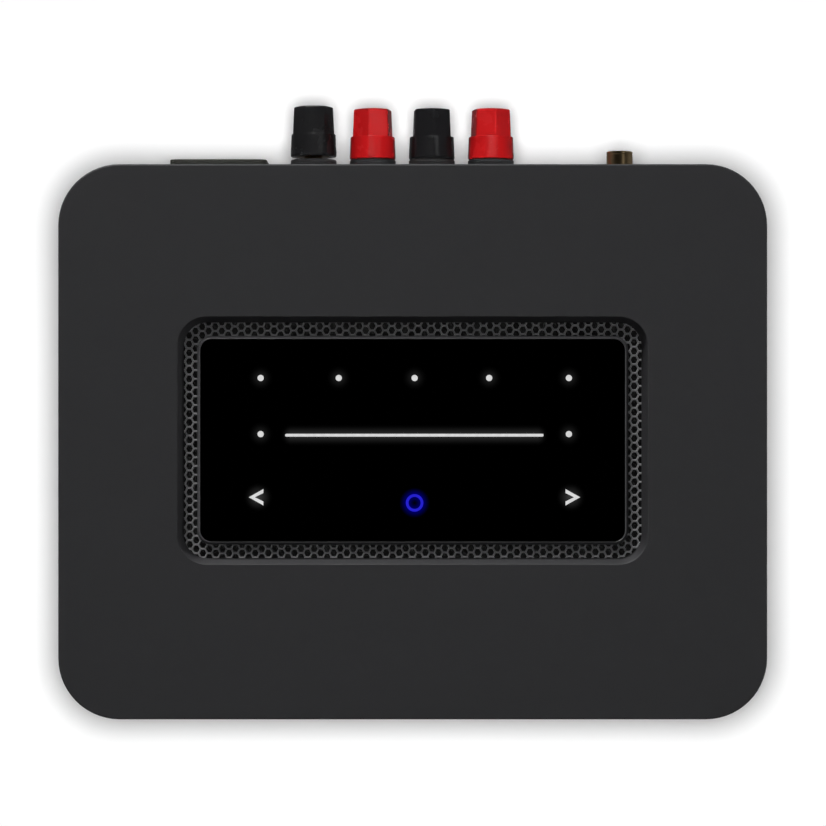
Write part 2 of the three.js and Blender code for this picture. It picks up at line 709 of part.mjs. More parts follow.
function miniJack() {
  const { z, width, height, inner, collarRadius, boreRadius, boreDepth } = MINI_JACK;
  const bottom = UPPER_SOCKETS_Z - z;
  const base = block([-width / 2, inner, bottom], [width / 2, -PANEL_PLATE - 0.2, bottom + height]);
  const collar = rod(collarRadius, -PANEL_PLATE - 1, -0.2, 20);
  return joined([base, collar]).subtract(rod(boreRadius, -boreDepth, 1, 14));
}

function ethernetJack() {
  const { width, height, inner, mouthWidth, mouthHeight, depth } = ETHERNET;
  const mouthBottom = 1.6;
  const latchWidth = 6;
  const latchHeight = 2;
  const mouthTop = mouthBottom + mouthHeight;
  return without(block([-width / 2, inner, 0], [width / 2, -0.2, height]), [
    block([-mouthWidth / 2, -depth, mouthBottom], [mouthWidth / 2, 1, mouthTop]),
    block([-latchWidth / 2, -depth, mouthTop - 1], [latchWidth / 2, 1, mouthTop + latchHeight]),
  ]);
}

// A thin metal sleeve with a flat tongue standing in it.
function sleeveSocket({ width, height, inner, wall, tongue }) {
  const hollow = block([-width / 2 + wall, inner + 1, wall], [width / 2 - wall, 1, height - wall]);
  const sleeve = block([-width / 2, inner, 0], [width / 2, -0.2, height]).subtract(hollow);
  const tongueBottom = (height - tongue) / 2;
  const tongueBlock = block(
    [-width / 2 + wall + 0.8, inner + 0.5, tongueBottom],
    [width / 2 - wall - 0.8, -1.5, tongueBottom + tongue],
  );
  return joined([sleeve, tongueBlock]);
}

function terminalBoard() {
  const { width, height, x, inner } = TERMINAL_BOARD;
  const board = block(
    [x - width / 2, inner, POST_Z - height / 2],
    [x + width / 2, inner + BOARD, POST_Z + height / 2],
  );
  const holes = POSTS.map((post) =>
    rod(STEM.radius + 0.2, inner - 1, inner + BOARD + 1, 16).translate([post.x, 0, POST_Z]),
  );
  return without(board, holes);
}

// ---------------------------------------------------------------- electronics

function boardBlock({ left, right, front, rear, z }) {
  return block([left, front, z], [right, rear, z + BOARD]);
}

// Board with low component packages standing on it, given as [x, y, width, depth, height].
function populatedBoard(board, packages) {
  const top = board.z + BOARD;
  return joined([
    boardBlock(board),
    ...packages.map(([x, y, width, depth, height]) =>
      block([x - width / 2, y - depth / 2, top - 0.2], [x + width / 2, y + depth / 2, top + height]),
    ),
  ]);
}

function mainBoard() {
  return populatedBoard(MAIN_BOARD, [
    [62, 10, 16, 16, 1.6],
    [44, 8, 10, 8, 1.1],
    [80, 12, 9, 12, 1.1],
    [62, 36, 12, 12, 1.4],
    [42, -46, 14, 6, 3],
  ]);
}

function ioBoard() {
  const header = block([56, IO_BOARD.front + 2, LOWER_SOCKETS_Z], [80, IO_BOARD.front + 6, IO_BOARD.z + 0.5]);
  return joined([boardBlock(IO_BOARD), header]);
}

function wirelessModule() {
  const z = LOWER_SOCKETS_Z;
  return joined([block([50, -44, z], [76, -20, z + 0.8]), block([52, -40, z + 0.6], [74, -22, z + 3])]);
}

function antenna(side) {
  const x = side * (BODY_WIDTH / 2 - WALL - LOOSE_GAP - 0.4);
  return block([x - 0.4, -60, 30], [x + 0.4, -20, 40]);
}

function amplifierBoard() {
  const x = (HEATSINK.left + HEATSINK.right) / 2;
  return populatedBoard(AMPLIFIER_BOARD, [
    [x - 16, 11, 14, 20, CHIP_HEIGHT],
    [x + 16, 11, 14, 20, CHIP_HEIGHT],
    [x - 20, 48, 12, 12, 9],
    [x - 4, 48, 12, 12, 9],
    [x + 12, 48, 12, 12, 9],
  ]);
}

// A finned aluminium extrusion that stands on the amplifier chips.
function heatsink() {
  const { left, right, front, rear, base, height, fins, finWidth } = HEATSINK;
  const z = AMPLIFIER_BOARD.z + BOARD + CHIP_HEIGHT + FIT_GAP;
  const pitch = (right - left - finWidth) / (fins - 1);
  const shape = new THREE.Shape();
  shape.moveTo(left, z);
  shape.lineTo(right, z);
  for (let fin = fins - 1; fin >= 0; fin -= 1) {
    const x = left + fin * pitch;
    shape.lineTo(x + finWidth, z + height);
    shape.lineTo(x, z + height);
    if (fin > 0) {
      shape.lineTo(x, z + base);
      shape.lineTo(x - pitch + finWidth, z + base);
    }
  }
  return pushedBack(shape, front, rear);
}

function transformer() {
  const { x, y, core, coreDepth, coil, coilWidth, height } = TRANSFORMER;
  const z = POWER_BOARD.z + BOARD + FIT_GAP;
  return joined([
    block([x - core / 2, y - coreDepth / 2, z], [x + core / 2, y + coreDepth / 2, z + height]),
    block([x - coilWidth / 2, y - coil / 2, z + 3], [x + coilWidth / 2, y + coil / 2, z + height - 3]),
  ]);
}

function bulkCapacitor() {
  const { radius, height } = CAPACITORS;
  return turnedUpright([
    [0, 0],
    [radius, 0],
    [radius, 2.4],
    [radius - 0.6, 3],
    [radius, 3.6],
    [radius, height - 0.8],
    [radius - 0.8, height],
    [0, height],
  ]);
}

// A ring core wound with wire, lying on the power board.
function filterChoke() {
  return solidOf(new THREE.TorusGeometry(CHOKE.ringRadius, CHOKE.coilRadius, 6, 16));
}

// ---------------------------------------------------------------- assembly

const DARK_SHELL = 0x2d2d2f;
const GREEN_BOARD = 0x1f4a33;

function placed(mesh, x, y, z) {
  mesh.position.set(x, y, z);
  return mesh;
}

const body = new THREE.Group();
body.position.y = -POST_OVERHANG / 2;
body.add(
  piece("top_shell", topShell(), DARK_SHELL, 0.55, 0),
  piece("base_plate", basePlate(), 0x1e1e20, 0.6, 0),
  piece("ir_window", irWindow(), 0x120608, 0.15, 0),
  piece("vent_grille", ventGrille(), 0x3a3a3c, 0.4, 0.6),
  piece("touch_bezel", touchBezel(), 0x2a2a2c, 0.35, 0),
  piece("touch_glass", touchGlass(), 0x020203, 0.05, 0),
  piece("light_guide", lightGuide(), 0xd8dadc, 0.5, 0),
  piece("touch_board", touchBoard(), GREEN_BOARD, 0.5, 0),
  piece("touch_ribbon_cable", touchRibbonCable(), 0xd0c8b4, 0.5, 0),
  piece("main_board", mainBoard(), GREEN_BOARD, 0.5, 0),
  piece("io_board", ioBoard(), GREEN_BOARD, 0.5, 0),
  piece("wireless_module", wirelessModule(), 0xb4b6b8, 0.35, 1),
  piece("antenna_left", antenna(-1), 0x1c2b1f, 0.5, 0),
  piece("antenna_right", antenna(1), 0x1c2b1f, 0.5, 0),
  piece("amplifier_board", amplifierBoard(), GREEN_BOARD, 0.5, 0),
  piece("heatsink", heatsink(), 0x8f9194, 0.4, 1),
  piece("power_board", boardBlock(POWER_BOARD), GREEN_BOARD, 0.5, 0),
  piece("transformer", transformer(), 0x3c3a36, 0.6, 0),
);

for (const { name, x, y } of corners(FOOT.x, FOOT.y)) {
  body.add(placed(piece(`foot_${name}`, foot(), 0x141414, 0.9, 0), x, y, 0));
}
for (const { name, x, y } of corners(BASE_SCREW.x, BASE_SCREW.y)) {
  body.add(placed(piece(`base_screw_${name}`, baseScrew(), 0x2a2a2c, 0.35, 1), x, y, 0));
}

const POWER_BOARD_TOP_Z = POWER_BOARD.z + BOARD + FIT_GAP;
for (const [side, x] of [["left", CAPACITORS.leftX], ["right", CAPACITORS.rightX]]) {
  const can = piece(`bulk_capacitor_${side}`, bulkCapacitor(), 0x23304a, 0.4, 0);
  body.add(placed(can, x, CAPACITORS.y, POWER_BOARD_TOP_Z));
}
const choke = piece("filter_choke", filterChoke(), 0x7a4a22, 0.5, 0);
body.add(placed(choke, CHOKE.x, CHOKE.y, POWER_BOARD_TOP_Z + CHOKE.coilRadius));

const rear = new THREE.Group();
rear.position.y = PANEL_FACE_Y;
rear.add(
  piece("rear_panel", rearPanel(), 0x1a1a1b, 0.6, 0),
  piece("terminal_board", terminalBoard(), GREEN_BOARD, 0.5, 0),
  mainsInlet(),
  rcaSocket(),
  placed(piece("ethernet_jack", ethernetJack(), 0xb4b6b8, 0.35, 1), ETHERNET.x, 0, LOWER_SOCKETS_Z),
  placed(piece("usb_socket", sleeveSocket(USB), 0xb4b6b8, 0.3, 1), USB.x, 0, LOWER_SOCKETS_Z),
  placed(piece("hdmi_socket", sleeveSocket(HDMI), 0xb4b6b8, 0.3, 1), HDMI.x, 0, LOWER_SOCKETS_Z),
);
for (const { name, x } of MINI_JACKS) {
  rear.add(placed(piece(name, miniJack(), 0x181818, 0.5, 0), x, 0, MINI_JACK.z));
}
for (const [side, sign] of [["left", -1], ["right", 1]]) {
  const screw = piece(`rear_panel_screw_${side}`, panelScrew(), 0x2a2a2c, 0.35, 1);
  rear.add(placed(screw, sign * PANEL_SCREW.x, 0, PANEL_SCREW.z));
}
for (const post of POSTS) {
  rear.add(bindingPost(post));
}
body.add(rear);

const receiver = new THREE.Group();
receiver.name = "streaming_amplifier";
receiver.add(body);

export default receiver;
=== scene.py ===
import math

import bmesh
import bpy
from mathutils import Matrix, Vector


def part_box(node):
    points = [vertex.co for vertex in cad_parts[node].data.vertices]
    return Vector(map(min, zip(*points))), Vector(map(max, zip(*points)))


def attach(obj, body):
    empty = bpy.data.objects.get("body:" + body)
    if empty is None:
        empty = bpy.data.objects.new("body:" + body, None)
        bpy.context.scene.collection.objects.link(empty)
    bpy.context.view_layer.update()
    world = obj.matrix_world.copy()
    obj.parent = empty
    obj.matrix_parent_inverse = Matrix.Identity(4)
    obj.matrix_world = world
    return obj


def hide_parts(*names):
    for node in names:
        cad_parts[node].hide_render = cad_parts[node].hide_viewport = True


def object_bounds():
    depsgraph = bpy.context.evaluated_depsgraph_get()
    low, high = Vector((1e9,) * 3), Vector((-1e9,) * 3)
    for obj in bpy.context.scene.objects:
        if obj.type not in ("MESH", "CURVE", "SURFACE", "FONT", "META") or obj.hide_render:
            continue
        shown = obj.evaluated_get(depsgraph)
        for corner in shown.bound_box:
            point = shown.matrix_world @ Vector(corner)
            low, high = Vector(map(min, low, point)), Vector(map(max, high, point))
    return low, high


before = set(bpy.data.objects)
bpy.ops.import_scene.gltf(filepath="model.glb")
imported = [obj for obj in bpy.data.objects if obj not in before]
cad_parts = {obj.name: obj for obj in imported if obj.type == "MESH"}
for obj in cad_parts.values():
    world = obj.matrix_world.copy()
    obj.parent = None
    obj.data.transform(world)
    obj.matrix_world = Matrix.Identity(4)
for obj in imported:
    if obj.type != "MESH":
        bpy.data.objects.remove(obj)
cad_low, cad_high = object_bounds()

# A compact streaming amplifier: a low dark case with a glass touch panel sunk in its top, and four
# loudspeaker posts, a mains inlet and small sockets at the rear.
# The CAD nodes say where each piece is. Pieces are modelled in millimetres, with X to the right as
# seen from the front, Y to the rear and Z up, and deliver() turns them into metres.

MM = 0.001

# ---------------------------------------------------------------- camera and lights, in metres

SENSOR = 36.0
CAMERA_ABOVE_TOP = 0.883
VIEW_WIDTH_AT_TOP = 0.2562
CAMERA_X, CAMERA_Y = 0.0001, -0.00194
AIM = Vector((0, 0, 0.05))


def make_camera():
    """Straight above the case, with its rear edge at the top of the frame."""
    data = bpy.data.cameras.new("camera")
    data.sensor_width = SENSOR
    data.lens = SENSOR * CAMERA_ABOVE_TOP / VIEW_WIDTH_AT_TOP
    camera = bpy.data.objects.new("camera", data)
    camera.location = (CAMERA_X, CAMERA_Y, cad_high.z + CAMERA_ABOVE_TOP)
    bpy.context.scene.collection.objects.link(camera)
    bpy.context.scene.camera = camera


def softbox(name, location, size, power, in_gloss=True, in_diffuse=True):
    """A round soft lamp that faces the object."""
    data = bpy.data.lights.new(name, "AREA")
    data.shape = "DISK"
    data.size = size
    data.energy = power
    lamp = bpy.data.objects.new(name, data)
    lamp.location = location
    lamp.rotation_euler = (AIM - Vector(location)).to_track_quat("-Z", "Y").to_euler()
    lamp.visible_glossy = in_gloss
    lamp.visible_diffuse = in_diffuse
    lamp.visible_camera = False
    bpy.context.scene.collection.objects.link(lamp)
    return lamp


def make_room():
    """A pale backdrop in a dim studio that is black overhead, so that the glass panel stays black."""
    world = bpy.data.worlds.new("room")
    world.use_nodes = True
    nodes, links = world.node_tree.nodes, world.node_tree.links
    direction = nodes.new("ShaderNodeTexCoord").outputs["Generated"]
    height = nodes.new("ShaderNodeSeparateXYZ")
    links.new(direction, height.inputs[0])
    fade = nodes.new("ShaderNodeValToRGB")
    walls, ceiling = fade.color_ramp.elements
    walls.position, walls.color = 0.1, (0.14, 0.14, 0.145, 1)
    ceiling.position, ceiling.color = 0.6, (0, 0, 0, 1)
    links.new(height.outputs["Z"], fade.inputs[0])
    backdrop = nodes.new("ShaderNodeMix")
    backdrop.data_type = "RGBA"
    links.new(nodes.new("ShaderNodeLightPath").outputs["Is Camera Ray"], backdrop.inputs[0])
    links.new(fade.outputs[0], backdrop.inputs[6])
    backdrop.inputs[7].default_value = (0.92, 0.92, 0.93, 1)
    links.new(backdrop.outputs[2], nodes["Background"].inputs["Color"])
    bpy.context.scene.world = world


make_camera()
make_room()
softbox("overhead", (0.0, -0.002, 0.86), 0.2, 8.4, in_gloss=False)
KEY = softbox("key", (-1.0, 2.6, 0.68), 0.8, 430)
RIGHT = softbox("right", (1.3, 0.1, 0.32), 0.3, 14)
RIM = softbox("rim", (-0.5, 1.15, 0.9), 0.3, 58)
REAR = softbox("rear", (0.0, 1.8, 0.1), 0.6, 18, in_gloss=False)
FRONT = softbox("front", (0.0, -2.2, 0.3), 0.8, 12, in_gloss=False)
GLINT = softbox("glint", (0.55, 0.3, 0.85), 0.12, 0.22)
KICK = softbox("kick", (-0.1, 1.1, 1.0), 0.14, 45, in_diffuse=False)
bpy.context.scene.view_settings.view_transform = "Standard"

# ---------------------------------------------------------------- materials


def linear(colour, gain=1.0):
    """An sRGB colour such as "2d2d2f" as linear red, green, blue and alpha."""
    parts = [int(colour[start:start + 2], 16) / 255 for start in (0, 2, 4)]
    lifted = [part / 12.92 if part <= 0.04045 else ((part + 0.055) / 1.055) ** 2.4 for part in parts]
    return (*(min(part * gain, 1) for part in lifted), 1)


class Finish:
    """A node material around one principled shader, with patterns laid out in the object's metres."""

    def __init__(self, name, colour, roughness, metal=0.0, **inputs):
        self.material = bpy.data.materials.new(name)
        self.material.use_nodes = True
        self.nodes = self.material.node_tree.nodes
        self.links = self.material.node_tree.links
        self.shader = self.nodes["Principled BSDF"]
        self.where = self.nodes.new("ShaderNodeTexCoord").outputs["Object"]
        self.normal = None
        self.set("Base Color", linear(colour))
        self.set("Roughness", roughness)
        self.set("Metallic", metal)
        for socket, value in inputs.items():
            self.set(socket.replace("_", " "), value)

    def plug(self, socket, value):
        if isinstance(value, bpy.types.NodeSocket):
            self.links.new(value, socket)
        else:
            socket.default_value = value

    def set(self, socket, value):
        self.plug(self.shader.inputs[socket], value)

    def node(self, kind, inputs, output=0, **settings):
        node = self.nodes.new("ShaderNode" + kind)
        for setting, value in settings.items():
            setattr(node, setting, value)
        for socket, value in inputs.items():
            self.plug(node.inputs[socket], value)
        return node.outputs[output]

    def noise(self, grain, detail=2.0, stretch=(1, 1, 1)):
        """Soft noise with blotches about grain millimetres across, or longer where stretch is small."""
        place = self.node("Mapping", {"Vector": self.where, "Scale": stretch})
        return self.node("TexNoise", {"Vector": place, "Scale": 1 / (grain * MM), "Detail": detail})

    def spread(self, value, low, high, start=0.35, end=0.65):
        inputs = {"Value": value, "From Min": start, "From Max": end, "To Min": low, "To Max": high}
        return self.node("MapRange", inputs)

    def mixed(self, factor, first, second):
        return self.node("Mix", {0: factor, 6: first, 7: second}, output=2, data_type="RGBA")

    def maths(self, operation, first, second=0.0):
        return self.node("Math", {0: first, 1: second}, operation=operation)

    def coordinate(self, axis):
        return self.node("SeparateXYZ", {0: self.where}, output=axis)

    def bump(self, height, depth):
        """Raises the surface by up to depth millimetres."""
        inputs = {"Height": height, "Distance": depth * MM}
        if self.normal:
            inputs["Normal"] = self.normal
        self.normal = self.node("Bump", inputs)
        self.set("Normal", self.normal)

    def mottle(self, colour, blotch=12, amount=0.06):
        """Makes the colour slightly uneven."""
        tones = (linear(colour, 1 - amount), linear(colour, 1 + amount))
        self.set("Base Color", self.mixed(self.spread(self.noise(blotch), 0, 1), *tones))

    def uneven_gloss(self, roughness, blotch=7, amount=0.04):
        rough = self.spread(self.noise(blotch, detail=3), roughness - amount, roughness + amount)
        self.set("Roughness", rough)


def moulded(name, colour, roughness, grain=0.35, depth=0.004, blend=0.04, **inputs):
    """Moulded plastic with a fine eroded grain."""
    finish = Finish(name, colour, roughness, **inputs)
    finish.mottle(colour, amount=blend)
    finish.uneven_gloss(roughness)
    finish.bump(finish.noise(grain, detail=1), depth)
    return finish


def plated(name, colour, roughness, streak=(1, 1, 1), grain=0.3, depth=0.001):
    """Metal with fine marks drawn out along the axis whose stretch is small."""
    finish = Finish(name, colour, roughness, metal=1.0)
    finish.mottle(colour, blotch=4, amount=0.1)
    finish.uneven_gloss(roughness, blotch=2, amount=0.06)
    finish.bump(finish.noise(grain, stretch=streak), depth)
    return finish


def rubber():
    finish = moulded("foot_rubber", "141414", 0.85, grain=0.5, depth=0.02)
    finish.set("Sheen Weight", 0.2)
    return finish


def printed_ink():
    finish = Finish("panel_ink", "c4c6c8", 0.6)
    finish.mottle("c4c6c8", blotch=0.8)
    return finish


def circuit_board(name, board_top):
    """Green solder mask with pale traces, and dark packages above the board's own top."""
    finish = Finish(name, "1f4a33", 0.35, Coat_Weight=0.4)
    cells = finish.node(
        "TexVoronoi", {"Vector": finish.where, "Scale": 1 / (5 * MM), "Randomness": 0.7},
        distance="MANHATTAN",
    )
    lines = finish.maths("PINGPONG", cells, 0.12)
    trace = finish.spread(lines, 0, 1, 0.05, 0.07)
    mask = finish.mixed(trace, linear("1f4a33"), linear("2f6b49"))
    is_package = finish.maths("GREATER_THAN", finish.coordinate("Z"), board_top * MM)
    finish.set("Base Color", finish.mixed(is_package, mask, linear("17181a")))
    finish.uneven_gloss(0.4)
    finish.bump(trace, 0.03)
    return finish


def laminated_core(half_core):
    """Steel laminations in the middle and wound tape on both sides."""
    finish = Finish("transformer_core", "3c3a36", 0.55)
    across = finish.maths("ABSOLUTE", finish.maths("SUBTRACT", finish.coordinate("X"), half_core[0] * MM))
    is_tape = finish.maths("GREATER_THAN", across, half_core[1] * MM)
    sheets = finish.node(
        "TexWave", {"Vector": finish.where, "Scale": 1 / (3 * MM)}, bands_direction="Z",
    )
    steel = finish.mixed(sheets, linear("2c2b29"), linear("55524c"))
    finish.set("Base Color", finish.mixed(is_tape, steel, linear("b08a2c")))
    finish.bump(sheets, 0.05)
    return finish


def wound_copper(centre):
    """Enamelled turns round a ring core."""
    finish = Finish("choke_winding", "8a4a1e", 0.3, metal=0.8)
    place = finish.node("Mapping", {"Vector": finish.where, "Location": tuple(-centre * MM)})
    angle = finish.node("TexGradient", {"Vector": place}, output=1, gradient_type="RADIAL")
    turns = finish.maths("PINGPONG", finish.maths("MULTIPLY", angle, 44), 0.5)
    finish.set("Base Color", finish.mixed(turns, linear("5a2a10"), linear("b8692c")))
    finish.bump(turns, 0.4)
    return finish


def capacitor_sleeve(top):
    """Shrunk plastic sleeve with a bare metal end."""
    finish = Finish("capacitor_sleeve", "23304a", 0.35)
    is_end = finish.maths("GREATER_THAN", finish.coordinate("Z"), (top - 0.5) * MM)
    finish.set("Base Color", finish.mixed(is_end, linear("23304a"), linear("a9abae")))
    finish.set("Metallic", is_end)
    finish.uneven_gloss(0.35)
    finish.bump(finish.noise(2), 0.05)
    return finish


def striped_film():
    """Amber film with conductors running down it."""
    finish = Finish("ribbon_film", "b98a3c", 0.35)
    stripes = finish.node("TexWave", {"Vector": finish.where, "Scale": 1 / (4 * MM)}, bands_direction="X")
    finish.set("Base Color", finish.mixed(stripes, linear("6e4a1c"), linear("c99a4a")))
    return finish


# ---------------------------------------------------------------- shapes, in millimetres

CORNER_STEPS = 14
ROUND = 72
LEAST_RADIUS = 0.02
SHARP_ANGLE = math.radians(38)


class Box:
    """A CAD node's box in millimetres."""

    def __init__(self, node):
        low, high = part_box(node)
        self.low, self.high = low / MM, high / MM
        self.centre = (self.low + self.high) / 2
        self.size = self.high - self.low
        self.axis = Vector((self.centre.x, self.centre.y, 0))


PANEL_FACE = Box("rear_panel").high.y


def rounded_rectangle(width, height, radius, steps=CORNER_STEPS):
    points = []
    for quarter, (side, top) in enumerate([(1, 1), (-1, 1), (-1, -1), (1, -1)]):
        for step in range(steps + 1):
            angle = math.tau / 4 * (quarter + step / steps)
            across = side * (width / 2 - radius) + radius * math.cos(angle)
            up = top * (height / 2 - radius) + radius * math.sin(angle)
            points.append((across, up))
    return points


def polar(count, reach):
    """Points round an axis, each as far out as reach says for its angle."""
    angles = [math.tau * step / count for step in range(count)]
    return [(reach(angle) * math.cos(angle), reach(angle) * math.sin(angle)) for angle in angles]


def circle(radius, count=ROUND):
    return polar(count, lambda angle: radius)


def softened(profile, closed=False, steps=5):
    """A profile of (across, along, corner radius) points with its corners rounded."""
    points = []
    for index, (across, along, radius) in enumerate(profile):
        corner = Vector((across, along))
        is_end = not closed and index in (0, len(profile) - 1)
        if radius == 0 or is_end:
            points.append(corner)
            continue
        before = Vector(profile[index - 1][:2]) - corner
        after = Vector(profile[(index + 1) % len(profile)][:2]) - corner
        half = before.angle(after) / 2
        reach = min(radius / math.tan(half), 0.49 * before.length, 0.49 * after.length)
        start = corner + reach * before.normalized()
        end = corner + reach * after.normalized()
        for step in range(steps + 1):
            share = step / steps
            weights = ((1 - share) ** 2, 2 * share * (1 - share) * math.sin(half), share ** 2)
            point = weights[0] * start + weights[1] * corner + weights[2] * end
            points.append(point / sum(weights))
    return points


def placed(points, level, origin, axis):
    """Flat points as a ring across the Z or the Y axis, at a level counted from the origin."""
    if axis == "Z":
        return [origin + Vector((across, up, level)) for across, up in points]
    return [origin + Vector((across, level, up)) for across, up in points]


def frames(base, profile, origin, axis="Z", steps=CORNER_STEPS):
    """Rings of a (width, height, radius) rectangle, one for each (inset, level) of a profile."""
    width, height, radius = base
    rings = []
    for inset, level in profile:
        corner = max(radius - inset, LEAST_RADIUS)
        points = rounded_rectangle(width - 2 * inset, height - 2 * inset, corner, steps)
        rings.append(placed(points, level, origin, axis))
    return rings


def circles(profile, origin, axis="Y", count=ROUND):
    """Rings of a round piece, one for each (radius, level) of a profile."""
    return [placed(circle(radius, count), level, origin, axis) for radius, level in profile]


def capped(rings):
    return rings, False


def looped(rings):
    return rings, True


def bar(low, high, edge=0.2):
    """A block along Y with rounded edges, as a skin."""
    low, high = Vector(low), Vector(high)
    size, middle = high - low, (low + high) / 2
    profile = softened([(edge, 0, 0), (0, 0, 0), (0, size.y, 0), (edge, size.y, 0)])
    profile[1].y, profile[2].y = edge, size.y - edge
    origin = Vector((middle.x, low.y, middle.z))
    return capped(frames((size.x, size.z, edge), profile, origin, "Y", steps=3))


def rod(radius, low, high, origin, axis="Y", edge=0.0, count=ROUND):
    """A round bar with its far edge rounded, as a skin."""
    profile = softened([(radius, low, 0), (radius, high, edge), (0.05, high, 0)])
    return capped(circles(profile, origin, axis, count))


def add_skin(mesh, rings, closed):
    loops = [[mesh.verts.new(point) for point in ring] for ring in rings]
    following = loops[1:] + loops[:1] if closed else loops[1:]
    for lower, upper in zip(loops, following):
        for index, vertex in enumerate(lower):
            after = (index + 1) % len(lower)
            mesh.faces.new((vertex, lower[after], upper[after], upper[index]))
    if not closed:
        mesh.faces.new(loops[0])
        mesh.faces.new(loops[-1])


def as_object(name, mesh):
    """Turns a bmesh into an object of the scene, with every face looking outwards."""
    bmesh.ops.recalc_face_normals(mesh, faces=mesh.faces)
    data = bpy.data.meshes.new(name)
    mesh.to_mesh(data)
    mesh.free()
    piece = bpy.data.objects.new(name, data)
    bpy.context.scene.collection.objects.link(piece)
    return piece


def solid(name, *skins):
    """An object made of one or more closed skins, in millimetres."""
    mesh = bmesh.new()
    for rings, closed in skins:
        add_skin(mesh, rings, closed)
    return as_object(name, mesh)


def apply_modifiers(piece):
    shape = piece.evaluated_get(bpy.context.evaluated_depsgraph_get())
    data = bpy.data.meshes.new_from_object(shape)
    piece.modifiers.clear()
    piece.data = data


def combine(piece, operation, *skins):
    """Joins or cuts a piece with closed skins."""
    tool = solid("tool", *skins)
    modifier = piece.modifiers.new("combine", "BOOLEAN")
    modifier.operation = operation
    modifier.solver = "EXACT"
    modifier.object = tool
    apply_modifiers(piece)
    bpy.data.objects.remove(tool)
    return piece


def cut(piece, *skins):
    return combine(piece, "DIFFERENCE", *skins)


def join(piece, *skins):
    return combine(piece, "UNION", *skins)


def deliver(piece, body, slot, finish, *nodes):
    """Finishes a piece: metres, smooth shading, material and body, and hides the nodes that it stands for.
    The slot is not used.
    """
    piece.data.transform(Matrix.Scale(MM, 4))
    piece.data.shade_smooth()
    piece.data.set_sharp_from_angle(angle=SHARP_ANGLE)
    even = piece.modifiers.new("even_normals", "WEIGHTED_NORMAL")
    even.keep_sharp = True
    apply_modifiers(piece)
    piece.data.materials.clear()
    piece.data.materials.append(finish.material)
    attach(piece, body)
    if nodes:
        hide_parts(*nodes)
    return piece


def on_panel(node):
    """The point where a node's axis, which runs along Y, meets the rear panel's outer face."""
    middle = Box(node).centre
    return Vector((middle.x, PANEL_FACE, middle.z))


def from_panel(node):
    """A node's box, its point on the panel's face, and its inner and outer ends counted from there."""
    box = Box(node)
    return box, on_panel(node), box.low.y - PANEL_FACE, box.high.y - PANEL_FACE


CORNERS = ("front_left", "front_right", "rear_left", "rear_right")
POSTS = ("left_negative", "left_positive", "right_negative", "right_positive")

# ---------------------------------------------------------------- case

SHELL = {"radius": 19, "wall": 3, "edge": 0.6, "lower_edge": 0.8}
RECESS = {"width": 146, "depth": 76.8, "radius": 9, "drop": 5, "slope": 1.8, "edge": 0.35}
SEAT = {"gap": 0.3, "rim": 3.5, "drop": 8}
REAR_OPENING = {"width": 176, "height": 54, "radius": 2, "z": 35}
BOSS_RADIUS = 4.5
PILOT_RADIUS = 1.45
LENS = {"width": 7.6, "height": 3.6, "radius": 1}


def upright_rod(radius, low, high, x, y):
    return rod(radius, low, high, Vector((x, y, 0)), "Z", count=36)


def top_shell(finish):
    box, grille, base = Box("top_shell"), Box("vent_grille"), Box("base_plate")
    wall, top, bottom = SHELL["wall"], box.high.z, box.low.z
    ceiling, floor = top - wall, top - RECESS["drop"]
    seat = (grille.size.x / 2 + SEAT["gap"]) - RECESS["width"] / 2
    rim, rim_bottom = -seat - SEAT["rim"], top - SEAT["drop"]
    outline = (box.size.x, box.size.y, SHELL["radius"])
    mouth = (RECESS["width"], RECESS["depth"], RECESS["radius"])
    outside = softened([
        (wall, ceiling, 0), (wall, bottom, 0.3), (0, bottom, SHELL["lower_edge"]), (0, top, SHELL["edge"]),
        (12, top, 0),
    ])
    inside = softened([
        (-8, top, 0), (0, top, RECESS["edge"]), (RECESS["slope"], floor, 0.3), (-seat, floor, 0),
        (-seat, rim_bottom, 0), (rim, rim_bottom, 0.5), (rim, ceiling, 0),
    ])
    rings = frames(outline, outside, box.axis) + frames(mouth, inside, grille.axis)
    shell = solid("top_shell_skin", looped(rings))
    bosses, pilots = [], []
    for corner in CORNERS:
        screw = Box("base_screw_" + corner)
        x, y = screw.centre.x, screw.centre.y
        bosses.append(upright_rod(BOSS_RADIUS, base.low.z + 2.7, ceiling + 1, x, y))
        pilots.append(upright_rod(PILOT_RADIUS, base.low.z, screw.high.z + 1, x, y))
    for side in ("left", "right"):
        screw = Box("rear_panel_screw_" + side)
        rear, x, z = Box("rear_panel").low.y - 0.3, screw.centre.x, screw.centre.z
        low = (x - BOSS_RADIUS, rear - 12, z - BOSS_RADIUS)
        bosses.append(bar(low, (x + BOSS_RADIUS, rear, ceiling + 1), edge=0.5))
        pilots.append(rod(PILOT_RADIUS, -11, 1, Vector((x, rear, z)), count=24))
    join(shell, *bosses)
    opening = (REAR_OPENING["width"], REAR_OPENING["height"], REAR_OPENING["radius"])
    rear_origin = Vector((0, box.high.y, REAR_OPENING["z"]))
    lens = Box("ir_window").centre
    lens_hole = (LENS["width"] + 0.4, LENS["height"] + 0.4, LENS["radius"] + 0.2)
    front_origin = Vector((lens.x, box.low.y, lens.z))
    cut(
        shell,
        capped(frames(opening, [(0, -wall - 1), (0, -0.4), (-0.4, 0), (-0.4, 1)], rear_origin, "Y", 5)),
        capped(frames(lens_hole, [(-0.3, -1), (-0.3, 0), (0, 0.3), (0, wall + 1)], front_origin, "Y", 6)),
        *pilots,
    )
    return deliver(shell, "case", "shell_plastic", finish, "top_shell")


